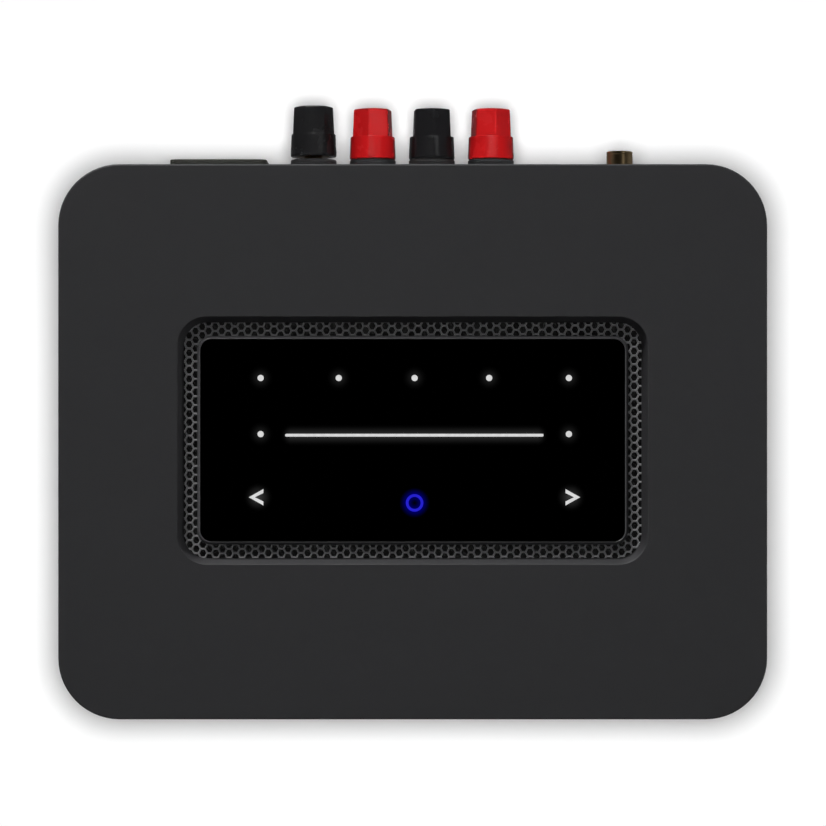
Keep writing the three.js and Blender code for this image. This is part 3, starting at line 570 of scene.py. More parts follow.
def ir_lens(finish):
    """A small domed lens with a flange behind the front wall."""
    box = Box("ir_window")
    origin = Vector((box.centre.x, box.low.y, box.centre.z))
    lens = (LENS["width"], LENS["height"], LENS["radius"])
    inner = box.size.y
    profile = [(0.9, 0), (0.45, 0.06), (0.15, 0.2), (0, 0.45), (0, inner - 1.2), (-1.7, inner - 1.2)]
    rings = frames(lens, profile + [(-1.7, inner)], origin, "Y", 6)
    deliver(solid("ir_lens", capped(rings)), "case", "ir_lens", finish, "ir_window")


PLATE = {"thickness": 2.5, "radius": 15.7}
VENTS = {"length": 28, "width": 3, "columns": 2, "rows": 7, "pitch_x": 34, "pitch_y": 10, "shift_y": -3.5}
STANDOFF = {"radius": 2.5, "inset": 3}
SCREW_SEAT = {"head": 3.6, "bore": 1.5, "depth": 1.7}


def vent_slots(plate_low):
    """Two columns of rounded slots under the amplifier board, with broken lower edges."""
    board, sink = Box("amplifier_board").centre, Box("heatsink").centre
    outline = (VENTS["length"], VENTS["width"], VENTS["width"] / 2)
    profile = [(-0.5, -1), (-0.5, 0), (0, 0.5), (0, PLATE["thickness"] + 1)]
    slots = []
    for column in range(VENTS["columns"]):
        for row in range(VENTS["rows"]):
            x = sink.x + (column - (VENTS["columns"] - 1) / 2) * VENTS["pitch_x"]
            y = board.y + VENTS["shift_y"] + (row - (VENTS["rows"] - 1) / 2) * VENTS["pitch_y"]
            slots.append(capped(frames(outline, profile, Vector((x, y, plate_low)), steps=8)))
    return slots


def base_plate(finish):
    box = Box("base_plate")
    low, top = box.low.z, box.low.z + PLATE["thickness"]
    profile = softened([(1, low, 0), (0, low, 0.5), (0, top, 0.3), (1, top, 0)])
    outline = (box.size.x, box.size.y, PLATE["radius"])
    plate = solid("base_plate_sheet", capped(frames(outline, profile, box.axis)))
    pillars = []
    for name in ("main_board", "power_board", "amplifier_board"):
        board = Box(name)
        inset = STANDOFF["inset"]
        for x in (board.low.x + inset, board.high.x - inset):
            for y in (board.low.y + inset, board.high.y - inset):
                pillars.append(upright_rod(STANDOFF["radius"], top - 1, board.low.z - 0.1, x, y))
    seats = []
    head, bore, seat = SCREW_SEAT["head"], SCREW_SEAT["bore"], low + SCREW_SEAT["depth"]
    cone = [(head, low - 1), (head, low), (bore, seat), (bore, top + 1)]
    for corner in CORNERS:
        seats.append(capped(circles(cone, Box("base_screw_" + corner).axis, "Z", 36)))
    join(plate, *pillars)
    cut(plate, *seats, *vent_slots(low))
    deliver(plate, "case", "base_steel", finish, "base_plate")


def foot(corner, finish):
    """A rubber foot with a ribbed tread and a dimple in its middle."""
    box = Box("foot_" + corner)
    radius, top = box.size.x / 2, box.high.z
    profile = softened([
        (0.05, 1.4, 0), (2.6, 1.4, 0.3), (3.4, 0, 0.3), (6.2, 0, 0.2), (6.5, 0.6, 0.2), (7.1, 0.6, 0.2),
        (7.4, 0, 0.2), (radius - 1.2, 0, 0.5), (radius, 1.2, 0.6), (radius, top, 0.4), (0.05, top, 0),
    ], steps=3)
    piece = solid("foot_pad_" + corner, capped(circles(profile, box.axis, "Z")))
    deliver(piece, "case", "foot_rubber", finish, "foot_" + corner)


def hex_hole(radius, low, high, origin, axis):
    return capped([placed(circle(radius, 6), level, origin, axis) for level in (low, high)])


def base_screw(corner, finish):
    """A countersunk screw, head down, with a hexagon socket."""
    box = Box("base_screw_" + corner)
    head, length = box.size.x / 2, box.size.z
    origin = Vector((box.centre.x, box.centre.y, box.low.z))
    profile = softened([
        (0.05, 0, 0), (head, 0, 0.25), (1.3, 1.5, 0.2), (1.3, length - 1.5, 0), (0.4, length, 0),
        (0.05, length, 0),
    ], steps=3)
    screw = solid("base_screw_body_" + corner, capped(circles(profile, origin, "Z", 48)))
    cut(screw, hex_hole(1.2, -1, 1.2, origin, "Z"))
    deliver(screw, "case", "screw_steel", finish, "base_screw_" + corner)


# ---------------------------------------------------------------- touch panel

MESH = {"column": 2.043, "row": 2.722, "crest": 0.9, "hole": 0.76, "sink": 0.9, "steps": 2}
MESH_SHIFT = Vector((-0.25, 0.33, 0))
MESH_TURN = math.radians(0.2)
SHEET_RADIUS = 9.7
SHADE_SHEET_FIT = {"gap": 0.05, "thickness": 0.4, "inset": 0.3}
NECK = {"width": 126, "height": 57, "radius": 3, "gap": 0.8}
BEZEL = {"radius": 4.5, "slope": 0.75}
GLASS = {"radius": 3.4, "play": 0.1, "depth": 1.5}
WINDOW = {"width": 122, "height": 53, "radius": 2}


def hexagon_cell(column, row, share):
    """One cell of the mesh, shrunk to a share of its size."""
    half = MESH["row"] / 2 * share
    reach = MESH["column"] / 1.5 * share
    x = column * MESH["column"]
    y = (row + (column % 2) / 2) * MESH["row"]
    shape = [
        (reach, 0), (reach / 2, half), (-reach / 2, half),
        (-reach, 0), (-reach / 2, -half), (reach / 2, -half),
    ]
    return [(x + across, y + up) for across, up in shape]


def neighbours(column, row):
    """The cells across the six sides of a cell, in the order of its corners."""
    lift = column % 2
    return [
        (column + 1, row + lift), (column, row + 1), (column - 1, row + lift),
        (column - 1, row - 1 + lift), (column, row - 1), (column + 1, row - 1 + lift),
    ]


def across_middle(length, pitch):
    """The numbers of the cells that cover a length around the middle, with two to spare at each end."""
    reach = int(length / 2 / pitch) + 2
    return range(-reach, reach + 1)


def mesh_slab(width, height, low, high, origin):
    """A slab of hexagonal holes that narrow downwards, larger than the sheet that is cut from it."""
    columns, rows = across_middle(width, MESH["column"]), across_middle(height, MESH["row"])
    hollow_x, hollow_y = NECK["width"] / 2 - 2, NECK["height"] / 2 - 2
    cells = set()
    for column in columns:
        for row in rows:
            centre_x, centre_y = column * MESH["column"], (row + (column % 2) / 2) * MESH["row"]
            if abs(centre_x) > hollow_x or abs(centre_y) > hollow_y:
                cells.add((column, row))
    hole, crest = MESH["hole"], MESH["crest"]
    steps = [(1, high)]
    for step in range(MESH["steps"] + 1):
        part = step / MESH["steps"]
        steps.append((crest - (crest - hole) * part, high - MESH["sink"] * part))
    steps += [(hole, low), (1, low)]
    mesh = bmesh.new()
    shared = {}

    def vertex(point, level):
        key = (round(point[0], 3), round(point[1], 3), round(level, 3))
        if key not in shared:
            shared[key] = mesh.verts.new(origin + Vector((point[0], point[1], level)))
        return shared[key]

    for column, row in sorted(cells):
        loops = []
        for share, level in steps:
            loops.append([vertex(point, level) for point in hexagon_cell(column, row, share)])
        for upper, lower in zip(loops, loops[1:]):
            for side in range(6):
                after = (side + 1) % 6
                mesh.faces.new((upper[side], upper[after], lower[after], lower[side]))
        for side, neighbour in enumerate(neighbours(column, row)):
            if neighbour not in cells:
                after = (side + 1) % 6
                mesh.faces.new((loops[0][after], loops[0][side], loops[-1][side], loops[-1][after]))
    bmesh.ops.rotate(mesh, verts=mesh.verts, cent=origin, matrix=Matrix.Rotation(MESH_TURN, 3, "Z"))
    return as_object("hexagon_mesh", mesh)


def sheet_round_neck(inset, low, high):
    """A flat sheet as large as the mesh, less an inset, with an opening for the frame's neck."""
    box = Box("vent_grille")
    outline = (box.size.x, box.size.y, SHEET_RADIUS)
    opening = (NECK["width"] + NECK["gap"], NECK["height"] + NECK["gap"], NECK["radius"])
    sheet = frames(outline, [(inset, low), (inset, high)], box.axis)
    return looped(sheet + frames(opening, [(0, high), (0, low)], box.axis))


def vent_grille(finish):
    """The sheet of hexagonal mesh that shows between the recess and the glass's frame."""
    box = Box("vent_grille")
    grille = mesh_slab(box.size.x, box.size.y, box.low.z, box.high.z, box.axis + MESH_SHIFT)
    combine(grille, "INTERSECT", sheet_round_neck(0, box.low.z - 1, box.high.z + 1))
    deliver(grille, "case", "grille_metal", finish, "vent_grille")


def painted_shade_sheet(finish):
    """A black sheet under the mesh that makes its holes black: a dark sheet standing in for the shade
    inside the case.
    """
    top = Box("vent_grille").low.z - SHADE_SHEET_FIT["gap"]
    painted_shade_skin = sheet_round_neck(SHADE_SHEET_FIT["inset"], top - SHADE_SHEET_FIT["thickness"], top)
    deliver(solid("painted_shade_sheet", painted_shade_skin), "case", "foot_rubber", finish)


def painted_shade_sheet_finish():
    # Near-black woven look for the sheet that stands in for the shade under the mesh.
    finish = Finish("painted_shade_sheet", "050505", 0.95, Specular_IOR_Level=0.1)
    inputs = {"Vector": finish.where, "Scale": 1 / (2 * MM)}
    threads = finish.node("TexWave", inputs, bands_direction="DIAGONAL")
    finish.set("Base Color", finish.mixed(threads, linear("030303"), linear("080808")))
    finish.bump(threads, 0.05)
    return finish


def touch_bezel(finish):
    """A tray with sloping sides that holds the glass, and a neck through the mesh."""
    box, glass = Box("touch_bezel"), Box("touch_glass")
    origin = box.axis
    low, top, neck_low = Box("vent_grille").high.z + 0.2, box.high.z, box.low.z
    bed = top - GLASS["depth"]
    play = GLASS["play"]
    pocket = (glass.size.x + 2 * play, glass.size.y + 2 * play, GLASS["radius"] + play)
    window = (WINDOW["width"], WINDOW["height"], WINDOW["radius"])
    neck = (NECK["width"], NECK["height"], NECK["radius"])
    slope = softened([(0, low, 0), (BEZEL["slope"], top, 0.35), (BEZEL["slope"] + 0.25, top, 0)])
    rings = frames((box.size.x, box.size.y, BEZEL["radius"]), slope, origin)
    rings += frames(pocket, [(-0.06, top), (0, top - 0.06), (0, bed)], origin)
    rings += frames(window, [(0, bed), (0, neck_low)], origin)
    rings += frames(neck, [(0, neck_low), (0, low)], origin)
    deliver(solid("bezel_frame", looped(rings)), "case", "bezel_plastic", finish, "touch_bezel")


def touch_glass(finish):
    """The black glass, with a fine polished edge."""
    box = Box("touch_glass")
    low, top = box.low.z, box.high.z
    profile = softened([(3, low, 0), (0, low, 0.1), (0, top, 0.3), (3, top, 0)])
    rings = frames((box.size.x, box.size.y, GLASS["radius"]), profile, box.axis)
    deliver(solid("glass_panel", capped(rings)), "case", "touch_glass", finish, "touch_glass")


# Lit marks, placed from the middle of the glass.
DOT = {"radius": 0.97, "columns": (-47.3, -23.0, 0.6, 23.8, 48.6), "upper_y": 19.4, "lower_y": 1.95}
SLIDER = {"left": -39.7, "right": 40.7, "y": 1.6, "width": 0.88}
CHEVRON = {"y": -17.7, "length": 4.55, "half_height": 2.55, "stroke": 1.24, "notch": 1.9}
CHEVRON_TIPS = ((-51.0, 1), (52.1, -1))
RING = {"x": 0.6, "y": -19.45, "radius": 2.3, "width": 0.84}
MARK_RISE = 0.03


def dot_places():
    upper = [(x, DOT["upper_y"]) for x in DOT["columns"]]
    lower = [(x, DOT["lower_y"]) for x in (DOT["columns"][0], DOT["columns"][-1])]
    return upper + lower


def lit_marks(finish):
    """Seven dots, a slider line and two arrowheads, just proud of the glass."""
    glass = Box("touch_glass")
    origin = Vector((glass.centre.x, glass.centre.y, glass.high.z))
    skins = []
    for x, y in dot_places():
        profile = [(DOT["radius"], 0), (DOT["radius"], MARK_RISE)]
        skins.append(capped(circles(profile, origin + Vector((x, y, 0)), "Z", 40)))
    middle = Vector(((SLIDER["left"] + SLIDER["right"]) / 2, SLIDER["y"], 0))
    line = (SLIDER["right"] - SLIDER["left"], SLIDER["width"], SLIDER["width"] / 2)
    skins.append(capped(frames(line, [(0, 0), (0, MARK_RISE)], origin + middle, steps=8)))
    length, half, stroke = CHEVRON["length"], CHEVRON["half_height"], CHEVRON["stroke"]
    for tip, side in CHEVRON_TIPS:
        outline = [
            (0, 0), (length, half), (length, half - stroke), (CHEVRON["notch"], 0),
            (length, stroke - half), (length, -half),
        ]
        points = [(tip + side * across, CHEVRON["y"] + up) for across, up in outline]
        skins.append(capped([placed(points, level, origin, "Z") for level in (0, MARK_RISE)]))
    deliver(solid("lit_marks", *skins), "case", "light_guide", finish)


def lit_ring(finish):
    glass = Box("touch_glass")
    origin = Vector((glass.centre.x + RING["x"], glass.centre.y + RING["y"], glass.high.z))
    outer, inner = RING["radius"] + RING["width"] / 2, RING["radius"] - RING["width"] / 2
    profile = [(outer, 0), (outer, MARK_RISE), (inner, MARK_RISE), (inner, 0)]
    deliver(solid("lit_ring", looped(circles(profile, origin, "Z"))), "case", "light_guide", finish)


def glowing(name, colour, strength):
    """A mark lit from below, slightly uneven."""
    finish = Finish(name, "000000", 0.4, Emission_Color=linear(colour))
    finish.set("Emission Strength", finish.spread(finish.noise(1.5), strength * 0.94, strength * 1.06))
    finish.set("Specular IOR Level", 0.0)
    return finish


def black_glass():
    """Glossy black, faintly smudged, with a painted glow: the glass itself emits a soft halo round each lit
    mark.
    """
    finish = Finish("touch_glass", "000000", 0.06, Specular_IOR_Level=0.4)
    finish.uneven_gloss(0.07, blotch=18, amount=0.03)
    glass = Box("touch_glass")

    def distance_from(low, high):
        """How far a point lies from a rectangle on the glass, in metres."""
        corners = []
        for x, y in (low, high):
            corners.append(Vector((glass.centre.x + x, glass.centre.y + y, glass.high.z)) * MM)
        inside = finish.node("VectorMath", {0: finish.where, 1: corners[0]}, operation="MAXIMUM")
        inside = finish.node("VectorMath", {0: inside, 1: corners[1]}, operation="MINIMUM")
        return finish.node("VectorMath", {0: finish.where, 1: inside}, output="Value", operation="DISTANCE")

    # Painted glow: light given off by the glass, fading with distance from a mark.
    def glow(distance, reach, strength):
        near = finish.spread(distance, 1, 0, 0, reach * MM)
        return finish.maths("MULTIPLY", finish.maths("POWER", near, 2.2), strength)

    line_start, line_end = (SLIDER["left"] + 2, SLIDER["y"]), (SLIDER["right"] - 2, SLIDER["y"])
    painted_white_halo = glow(distance_from(line_start, line_end), 3.6, 0.03)
    for place in dot_places():
        painted_white_halo = finish.maths("ADD", painted_white_halo, glow(distance_from(place, place), 4.2, 0.018))
    for tip, side in CHEVRON_TIPS:
        middle = (tip + side * 2.9, CHEVRON["y"])
        painted_white_halo = finish.maths("ADD", painted_white_halo, glow(distance_from(middle, middle), 4.8, 0.045))
    hub = (RING["x"], RING["y"])
    off_ring = finish.maths("SUBTRACT", distance_from(hub, hub), RING["radius"] * MM)
    painted_blue_halo = glow(finish.maths("ABSOLUTE", off_ring), 2.6, 0.2)
    # The painted halos, white round the marks and blue round the ring, become the glass's own emission.
    light = finish.node("CombineXYZ", {0: painted_white_halo, 1: painted_white_halo, 2: finish.maths("ADD", painted_white_halo, painted_blue_halo)})
    finish.set("Emission Color", light)
    finish.set("Emission Strength", 1.0)
    return finish


# ---------------------------------------------------------------- rear panel

PANEL = {"width": 175.4, "height": 53.4, "radius": 2, "flange": 2.8}
SPIGOT_HOLE = 4.7
INLET_HOLE = (27.5, 20.1)
PHONO_HOLE = 4.45
MINI_JACK_HOLE = 3.3
MINI_JACKS = ("ir_input_jack", "optical_input_jack")
PRINT = {"rise": 0.04, "sink": 0.01, "offset": 11.5, "line": 0.4}


def panel_hole(radius, origin, depth):
    """A round cutter through the panel that breaks its outer edge."""
    profile = [(radius, -depth - 1), (radius, -0.3), (radius + 0.3, 0), (radius + 0.3, 1)]
    return capped(circles(profile, origin, count=48))


def panel_slot(width, height, origin, depth):
    profile = [(0, -depth - 1), (0, -0.3), (-0.3, 0), (-0.3, 1)]
    return capped(frames((width, height, 0.6), profile, origin, "Y", 4))


def rear_panel(finish):
    box = Box("rear_panel")
    depth = box.size.y
    plate = (PANEL["width"], PANEL["height"], PANEL["radius"])
    flange = (box.size.x, box.size.z, PANEL["radius"])
    plate_origin = Vector((0, PANEL_FACE, REAR_OPENING["z"]))
    rings = frames(flange, [(0, -depth), (0, -PANEL["flange"])], on_panel("rear_panel"), "Y", 6)
    front = softened([(0, -PANEL["flange"], 0), (0, 0, 0.35), (2, 0, 0)])
    rings += frames(plate, front, plate_origin, "Y", 6)
    panel = solid("rear_panel_plate", capped(rings))
    holes = [panel_hole(SPIGOT_HOLE, on_panel("post_stem_" + post), depth) for post in POSTS]
    holes.append(panel_slot(*INLET_HOLE, on_panel("mains_inlet_body"), depth))
    holes.append(panel_hole(PHONO_HOLE, on_panel("rca_barrel"), depth))
    for jack in MINI_JACKS:
        holes.append(panel_hole(MINI_JACK_HOLE, jack_origin(jack), depth))
    for socket in ("ethernet_jack", "usb_socket", "hdmi_socket"):
        size = Box(socket).size
        holes.append(panel_slot(size.x + 0.6, size.z + 0.6, on_panel(socket), depth))
    for side in ("left", "right"):
        seat = [(1.5, -depth - 1), (1.5, -1.7), (3, -1.7), (3, -0.2), (3.2, 0), (3.2, 1)]
        holes.append(capped(circles(seat, on_panel("rear_panel_screw_" + side), count=48)))
    cut(panel, *holes)
    deliver(panel, "case", "panel_plastic", finish, "rear_panel")


def panel_print(finish):
    """Polarity signs and bracket lines for the loudspeaker posts, printed on the panel."""
    skins = []

    def stroke(x, z, width, height):
        low = (x - width / 2, PANEL_FACE - PRINT["sink"], z - height / 2)
        high = (x + width / 2, PANEL_FACE + PRINT["rise"], z + height / 2)
        skins.append(bar(low, high, edge=0.02))

    places = [on_panel("post_stem_" + post) for post in POSTS]
    sign_z, line_z = places[0].z + PRINT["offset"], places[0].z - PRINT["offset"]
    for post, place in zip(POSTS, places):
        stroke(place.x, sign_z, 2.6, 0.5)
        if "positive" in post:
            stroke(place.x, sign_z + 1.1, 0.5, 1.5)
            stroke(place.x, sign_z - 1.1, 0.5, 1.5)
    for first, second in (places[:2], places[2:]):
        stroke((first.x + second.x) / 2, line_z, second.x - first.x, PRINT["line"])
        for end in (first, second):
            stroke(end.x, line_z + 0.9, PRINT["line"], 1.4)
    deliver(solid("panel_print", *skins), "case", "panel_plastic", finish)


def panel_screw(side, finish):
    node = "rear_panel_screw_" + side
    box, origin, inner, _ = from_panel(node)
    head = box.size.x / 2
    profile = softened([
        (0.05, inner, 0), (0.5, inner, 0), (1.3, inner + 1.4, 0), (1.3, -1.5, 0), (head, -1.5, 0.15),
        (head, -0.1, 0.6), (0.05, -0.1, 0),
    ])
    screw = solid("panel_screw_" + side, capped(circles(profile, origin, count=48)))
    cut(screw, hex_hole(1.2, -1.1, 1, origin, "Y"))
    deliver(screw, "case", "screw_steel", finish, node)


# ---------------------------------------------------------------- loudspeaker posts

KNOB_TURN = {"left_negative": 4, "left_positive": 18, "right_negative": 35, "right_positive": 44}
SKIRT = {"start": 7.4, "end": 7.1, "length": 7.2}
GRIP = {"start": 6.64, "end": 6.28, "corner": 0.7, "dome": 0.5, "edge": 0.4}
WASHER_SEAT = {"radius": 5.5, "depth": 1.5}
THREAD = {"pitch": 0.75, "depth": 0.36, "start": 4.85, "steps": 7, "crest": 1.25}
SHOULDER = {"reach": 5.2, "inner": -7.5, "outer": -4.7}
SPIGOT = 4.5
WIRE_HOLE = {"radius": 1.3, "y": 7.2}
STEM = {"radius": 3, "bore": 2.05, "depth": 20, "sides": 48}
PLUG_HOLE = 2.6


def grip_outline(radius, turn):
    """A hexagon with rounded corners, a flat facing up before it is turned."""
    rounding = GRIP["corner"]
    corner_distance = radius - rounding

    def on_corner(ahead, angle):
        """The point at an angle on the rounding of the corner ahead."""
        across = corner_distance * math.cos(ahead) + rounding * math.cos(angle)
        up = corner_distance * math.sin(ahead) + rounding * math.sin(angle)
        return Vector((across, up))

    points = []
    for corner in range(6):
        ahead, following = (math.radians(60 * number - turn) for number in (corner, corner + 1))
        points += [on_corner(ahead, ahead + math.radians(30) * step / 4) for step in range(-4, 5)]
        last, first = points[-1], on_corner(following, following - math.radians(30))
        points += [last.lerp(first, share) for share in (0.25, 0.5, 0.75)]
    return points


def knob(post, finish, slot):
    """The insulated cap: a round skirt, a tapered six-sided grip and a hole for a plug in its end."""
    node = "post_knob_" + post
    box, _, start, end = from_panel(node)
    _, origin, _, stem_end = from_panel("post_stem_" + post)
    open_by = box.low.y - min(Box("post_knob_" + other).low.y for other in POSTS)
    bore_end = stem_end + open_by + 0.2
    shelf = start + SKIRT["length"]
    turn = KNOB_TURN[post]
    directions = [point.normalized() for point in grip_outline(GRIP["start"], turn)]

    def round_ring(radius, level):
        return [origin + Vector((radius * way.x, level, radius * way.y)) for way in directions]

    def dome(radius):
        return GRIP["dome"] * (radius / GRIP["start"]) ** 2

    def grip_ring(radius, drop):
        """A ring of the grip's end, which is slightly domed."""
        ring = []
        for point in grip_outline(radius, turn):
            ring.append(origin + Vector((point.x, end - drop - dome(point.length), point.y)))
        return ring

    seat, seat_radius = start + WASHER_SEAT["depth"], WASHER_SEAT["radius"]
    skirt = softened([
        (STEM["radius"] + 0.1, seat, 0), (seat_radius, seat, 0), (seat_radius, start, 0.2),
        (SKIRT["start"] - 0.15, start, 0.25), (SKIRT["start"], start + 0.7, 0.1),
        (SKIRT["start"] - 0.02, start + 0.78, 0), (SKIRT["end"], shelf, 0.45), (GRIP["start"], shelf, 0),
    ], steps=6)
    rings = [round_ring(radius, level) for radius, level in skirt]
    for fillet, level in [(0.12, 0), (0.03, 0.06), (0, 0.18)]:
        outline = grip_outline(GRIP["start"] + fillet, turn)
        rings.append([origin + Vector((point.x, shelf + level, point.y)) for point in outline])
    for step in range(7):
        angle = math.radians(15 * step)
        inset, drop = GRIP["edge"] * (1 - math.cos(angle)), GRIP["edge"] * (1 - math.sin(angle))
        rings.append(grip_ring(GRIP["end"] - inset, drop))
    rings += [grip_ring(radius, 0) for radius in (4.8, 3.9)]
    hole = softened([
        (PLUG_HOLE + 0.7, end - dome(3.3), 0), (PLUG_HOLE, end - dome(3), 0.3), (PLUG_HOLE, bore_end, 0),
        (STEM["radius"] + 0.1, bore_end, 0),
    ], steps=4)
    rings += [round_ring(radius, level) for radius, level in hole]
    deliver(solid("knob_" + post, looped(rings)), node, slot, finish, node)


def hexagon_reach(angle):
    """How far out the stem's hexagon shoulder is at an angle."""
    sixth = math.tau / 6
    return SHOULDER["reach"] * math.cos(sixth / 2) / math.cos(angle % sixth - sixth / 2)


def stem(post, finish):
    """The plated stem: a helical thread, a hexagon shoulder, a plug bore and a cross hole for wire."""
    node = "post_stem_" + post
    _, origin, inner, outer = from_panel(node)
    radius, pitch = STEM["radius"], THREAD["pitch"]
    count = STEM["sides"]
    tail = [(radius - 0.3, inner), (radius, inner + 0.3), (radius, SHOULDER["inner"])]
    rings = circles(tail, origin, count=count)
    for level in (SHOULDER["inner"], SHOULDER["outer"]):
        rings.append(placed(polar(count, hexagon_reach), level, origin, "Y"))
    neck = [(radius, SHOULDER["outer"]), (radius, THREAD["start"] - 0.3)]
    rings += circles(neck, origin, count=count)
    turns = int((outer - 0.5 - THREAD["start"]) / pitch)
    for step in range(turns * THREAD["steps"] + 1):
        level = THREAD["start"] + step * pitch / THREAD["steps"]

        def thread_reach(angle, level=level):
            wave = abs((level / pitch - angle / math.tau) % 1 - 0.5) * 2
            return radius - THREAD["depth"] * (1 - min(1, THREAD["crest"] * wave))

        rings.append(placed(polar(count, thread_reach), level, origin, "Y"))
    bore, bottom = STEM["bore"], outer - STEM["depth"]
    tip = [
        (radius - THREAD["depth"], outer - 0.3), (radius - 0.5, outer), (bore + 0.25, outer),
        (bore, outer - 0.25), (bore, bottom), (0.05, bottom - 1),
    ]
    rings += circles(tip, origin, count=count)
    piece = solid("stem_" + post, capped(rings))
    low, high, y = origin.z - radius - 1, origin.z + radius + 1, origin.y + WIRE_HOLE["y"]
    cut(piece, upright_rod(WIRE_HOLE["radius"], low, high, origin.x, y))
    deliver(piece, "case", "gold_plate", finish, node)


def collar(post, finish):
    """The insulating bush that seats the post in the panel."""
    node = "post_collar_" + post
    box, origin, inner, outer = from_panel(node)
    radius, bore = box.size.x / 2, STEM["radius"] + 0.15
    profile = softened([
        (bore, inner, 0), (SPIGOT, inner, 0.3), (SPIGOT, 0.1, 0), (radius, 0.1, 0.2),
        (radius, outer - 1.4, 0.1), (radius - 0.12, outer - 1.3, 0.1), (radius - 0.12, outer, 0.55),
        (bore, outer, 0.2),
    ], closed=True)
    bush = solid("collar_" + post, looped(circles(profile, origin)))
    deliver(bush, "case", "collar_plastic", finish, node)


def washer(post, finish):
    node = "post_washer_" + post
    box, origin, low, high = from_panel(node)
    radius, bore = box.size.x / 2, STEM["radius"] + 0.1
    profile = softened(
        [(bore, low, 0.2), (radius, low, 0.3), (radius, high, 0.3), (bore, high, 0.2)], closed=True,
    )
    deliver(solid("washer_" + post, looped(circles(profile, origin))), node, "gold_plate", finish, node)


# ---------------------------------------------------------------- sockets

PINS = ("mains_line_pin", "mains_earth_pin", "mains_neutral_pin")
INLET = {"flange": 4.5, "body": (27, 19.6, 1), "mouth": (24.6, 16.4), "chamfer": 4.5, "floor": -12}


def inlet_outline(grow):
    """A rectangle with its two upper corners cut off."""
    width, height = INLET["mouth"]
    side, top, chamfer = width / 2 + grow, height / 2 + grow, INLET["chamfer"]
    return [
        (-side, -top), (side, -top), (side, top - chamfer), (side - chamfer, top), (-side + chamfer, top),
        (-side, top - chamfer),
    ]


def mains_inlet(finish, blade_finish):
    node = "mains_inlet_body"
    box, origin, inner, _ = from_panel(node)
    flange, face = (box.size.x, box.size.z, 2.5), INLET["flange"]
    rings = frames(INLET["body"], [(0, inner), (0, 0.1)], origin, "Y", 8)
    outside = softened([(0, 0.1, 0), (0.15, face, 0.3), (3, face, 0)])
    rings += frames(flange, outside, origin, "Y", 8)
    body = solid("inlet_shroud", capped(rings))
    levels = [(0, INLET["floor"]), (0, face - 0.8), (0.7, face), (0.7, face + 1)]
    cut(body, capped([placed(inlet_outline(grow), level, origin, "Y") for grow, level in levels]))
    gap = Vector((0.1, 0.1, 0.1))
    cut(body, *(bar(Box(pin).low - gap, Box(pin).high + gap, edge=0.05) for pin in PINS))
    deliver(body, "case", "inlet_plastic", finish, node)
    for pin in PINS:
        blade = Box(pin)
        place = Vector((blade.centre.x, blade.low.y, blade.centre.z))
        length = blade.size.y
        profile = softened([
            (0.2, 0, 0), (0, 0.3, 0), (0, length - 1.6, 0.8), (0.65, length, 0.3), (0.9, length, 0),
        ])
        rings = frames((blade.size.x, blade.size.z, 0.3), profile, place, "Y", 4)
        deliver(solid(pin + "_blade", capped(rings)), "case", "tinned_steel", blade_finish, pin)


PHONO = {"bore": 3.6, "tube": 4.15, "groove": 4.02, "set_back": 4.3}


def phono_socket(gold, black):
    """A gold barrel round an insulating core with a split centre contact."""
    barrel, origin, inner, outer = from_panel("rca_barrel")
    block, flange = Box("rca_insulator"), barrel.size.x / 2
    bore, tube, groove = PHONO["bore"], PHONO["tube"], PHONO["groove"]
    profile = softened([
        (bore, inner, 0), (tube, inner, 0), (tube, 0.1, 0), (flange, 0.1, 0.15),
        (flange, 1.1, 0.3), (tube, 1.1, 0.1), (tube, outer - 1.1, 0.1), (groove, outer - 1.0, 0.1),
        (tube, outer - 0.85, 0.1), (tube, outer, 0.45), (bore, outer, 0.2),
    ], closed=True, steps=4)
    sleeve = solid("phono_barrel", looped(circles(profile, origin)))
    deliver(sleeve, "case", "gold_plate", gold, "rca_barrel")
    back = bar(block.low, (block.high.x, PANEL_FACE - PHONO["set_back"], block.high.z), edge=0.4)
    body = solid("phono_block", back)
    join(body, rod(3.5, -5.3, outer - 1.2, origin, edge=0.3))
    cut(body, rod(1.65, -6.3, outer, origin, count=36))
    deliver(body, "case", "socket_plastic", black, "rca_insulator")
    contact = [(1.6, -6.2), (1.6, outer - 1.6), (1.35, outer - 1.5), (1.25, outer - 1.8), (1.25, -6.2)]
    deliver(solid("phono_contact", looped(circles(contact, origin, count=36))), "case", "gold_plate", gold)


JACK_BLOCK_DEPTH = 4.3
JACK = {"collar": 3, "bore": 1.8, "depth": 14, "z": 43}


def jack_origin(node):
    return Vector((Box(node).centre.x, PANEL_FACE, JACK["z"]))


def mini_jack(node, finish, ring_finish):
    """A moulded block with a round collar in the panel and a plated ring in its mouth."""
    box, origin = Box(node), jack_origin(node)
    block_end = (box.high.x, PANEL_FACE - JACK_BLOCK_DEPTH, box.high.z)
    body = solid(node + "_body", bar(box.low, block_end, edge=0.4))
    join(body, rod(JACK["collar"], -JACK_BLOCK_DEPTH - 1, -0.2, origin, edge=0.3))
    bore, lip = JACK["bore"], JACK["bore"] + 0.4
    mouth = [(bore, -JACK["depth"]), (bore, -0.6), (lip, -0.2), (lip, 1)]
    cut(body, capped(circles(mouth, origin, count=48)))
    deliver(body, "case", "socket_plastic", finish, node)
    ring = [(1.75, -5), (1.75, -1), (1.6, -0.9), (1.5, -1.1), (1.5, -5)]
    contact = solid(node + "_contact", looped(circles(ring, origin, count=48)))
    deliver(contact, "case", "gold_plate", ring_finish)


NETWORK = {"width": 11.9, "sill": 1.6, "lintel": 10.2, "depth": 14, "notch": 6, "notch_rise": 2}
NETWORK_WIRE = {"count": 8, "pitch": 1.02, "width": 0.44, "set_back": 3}
NETWORK_LIGHT = {"offset": 5.4, "width": 2.6}


def upright_bar(x, width, rear, front, low, high, edge=0.1):
    """A block centred on x that reaches from rear to front and from low to high."""
    return bar((x - width / 2, rear, low), (x + width / 2, front, high), edge)


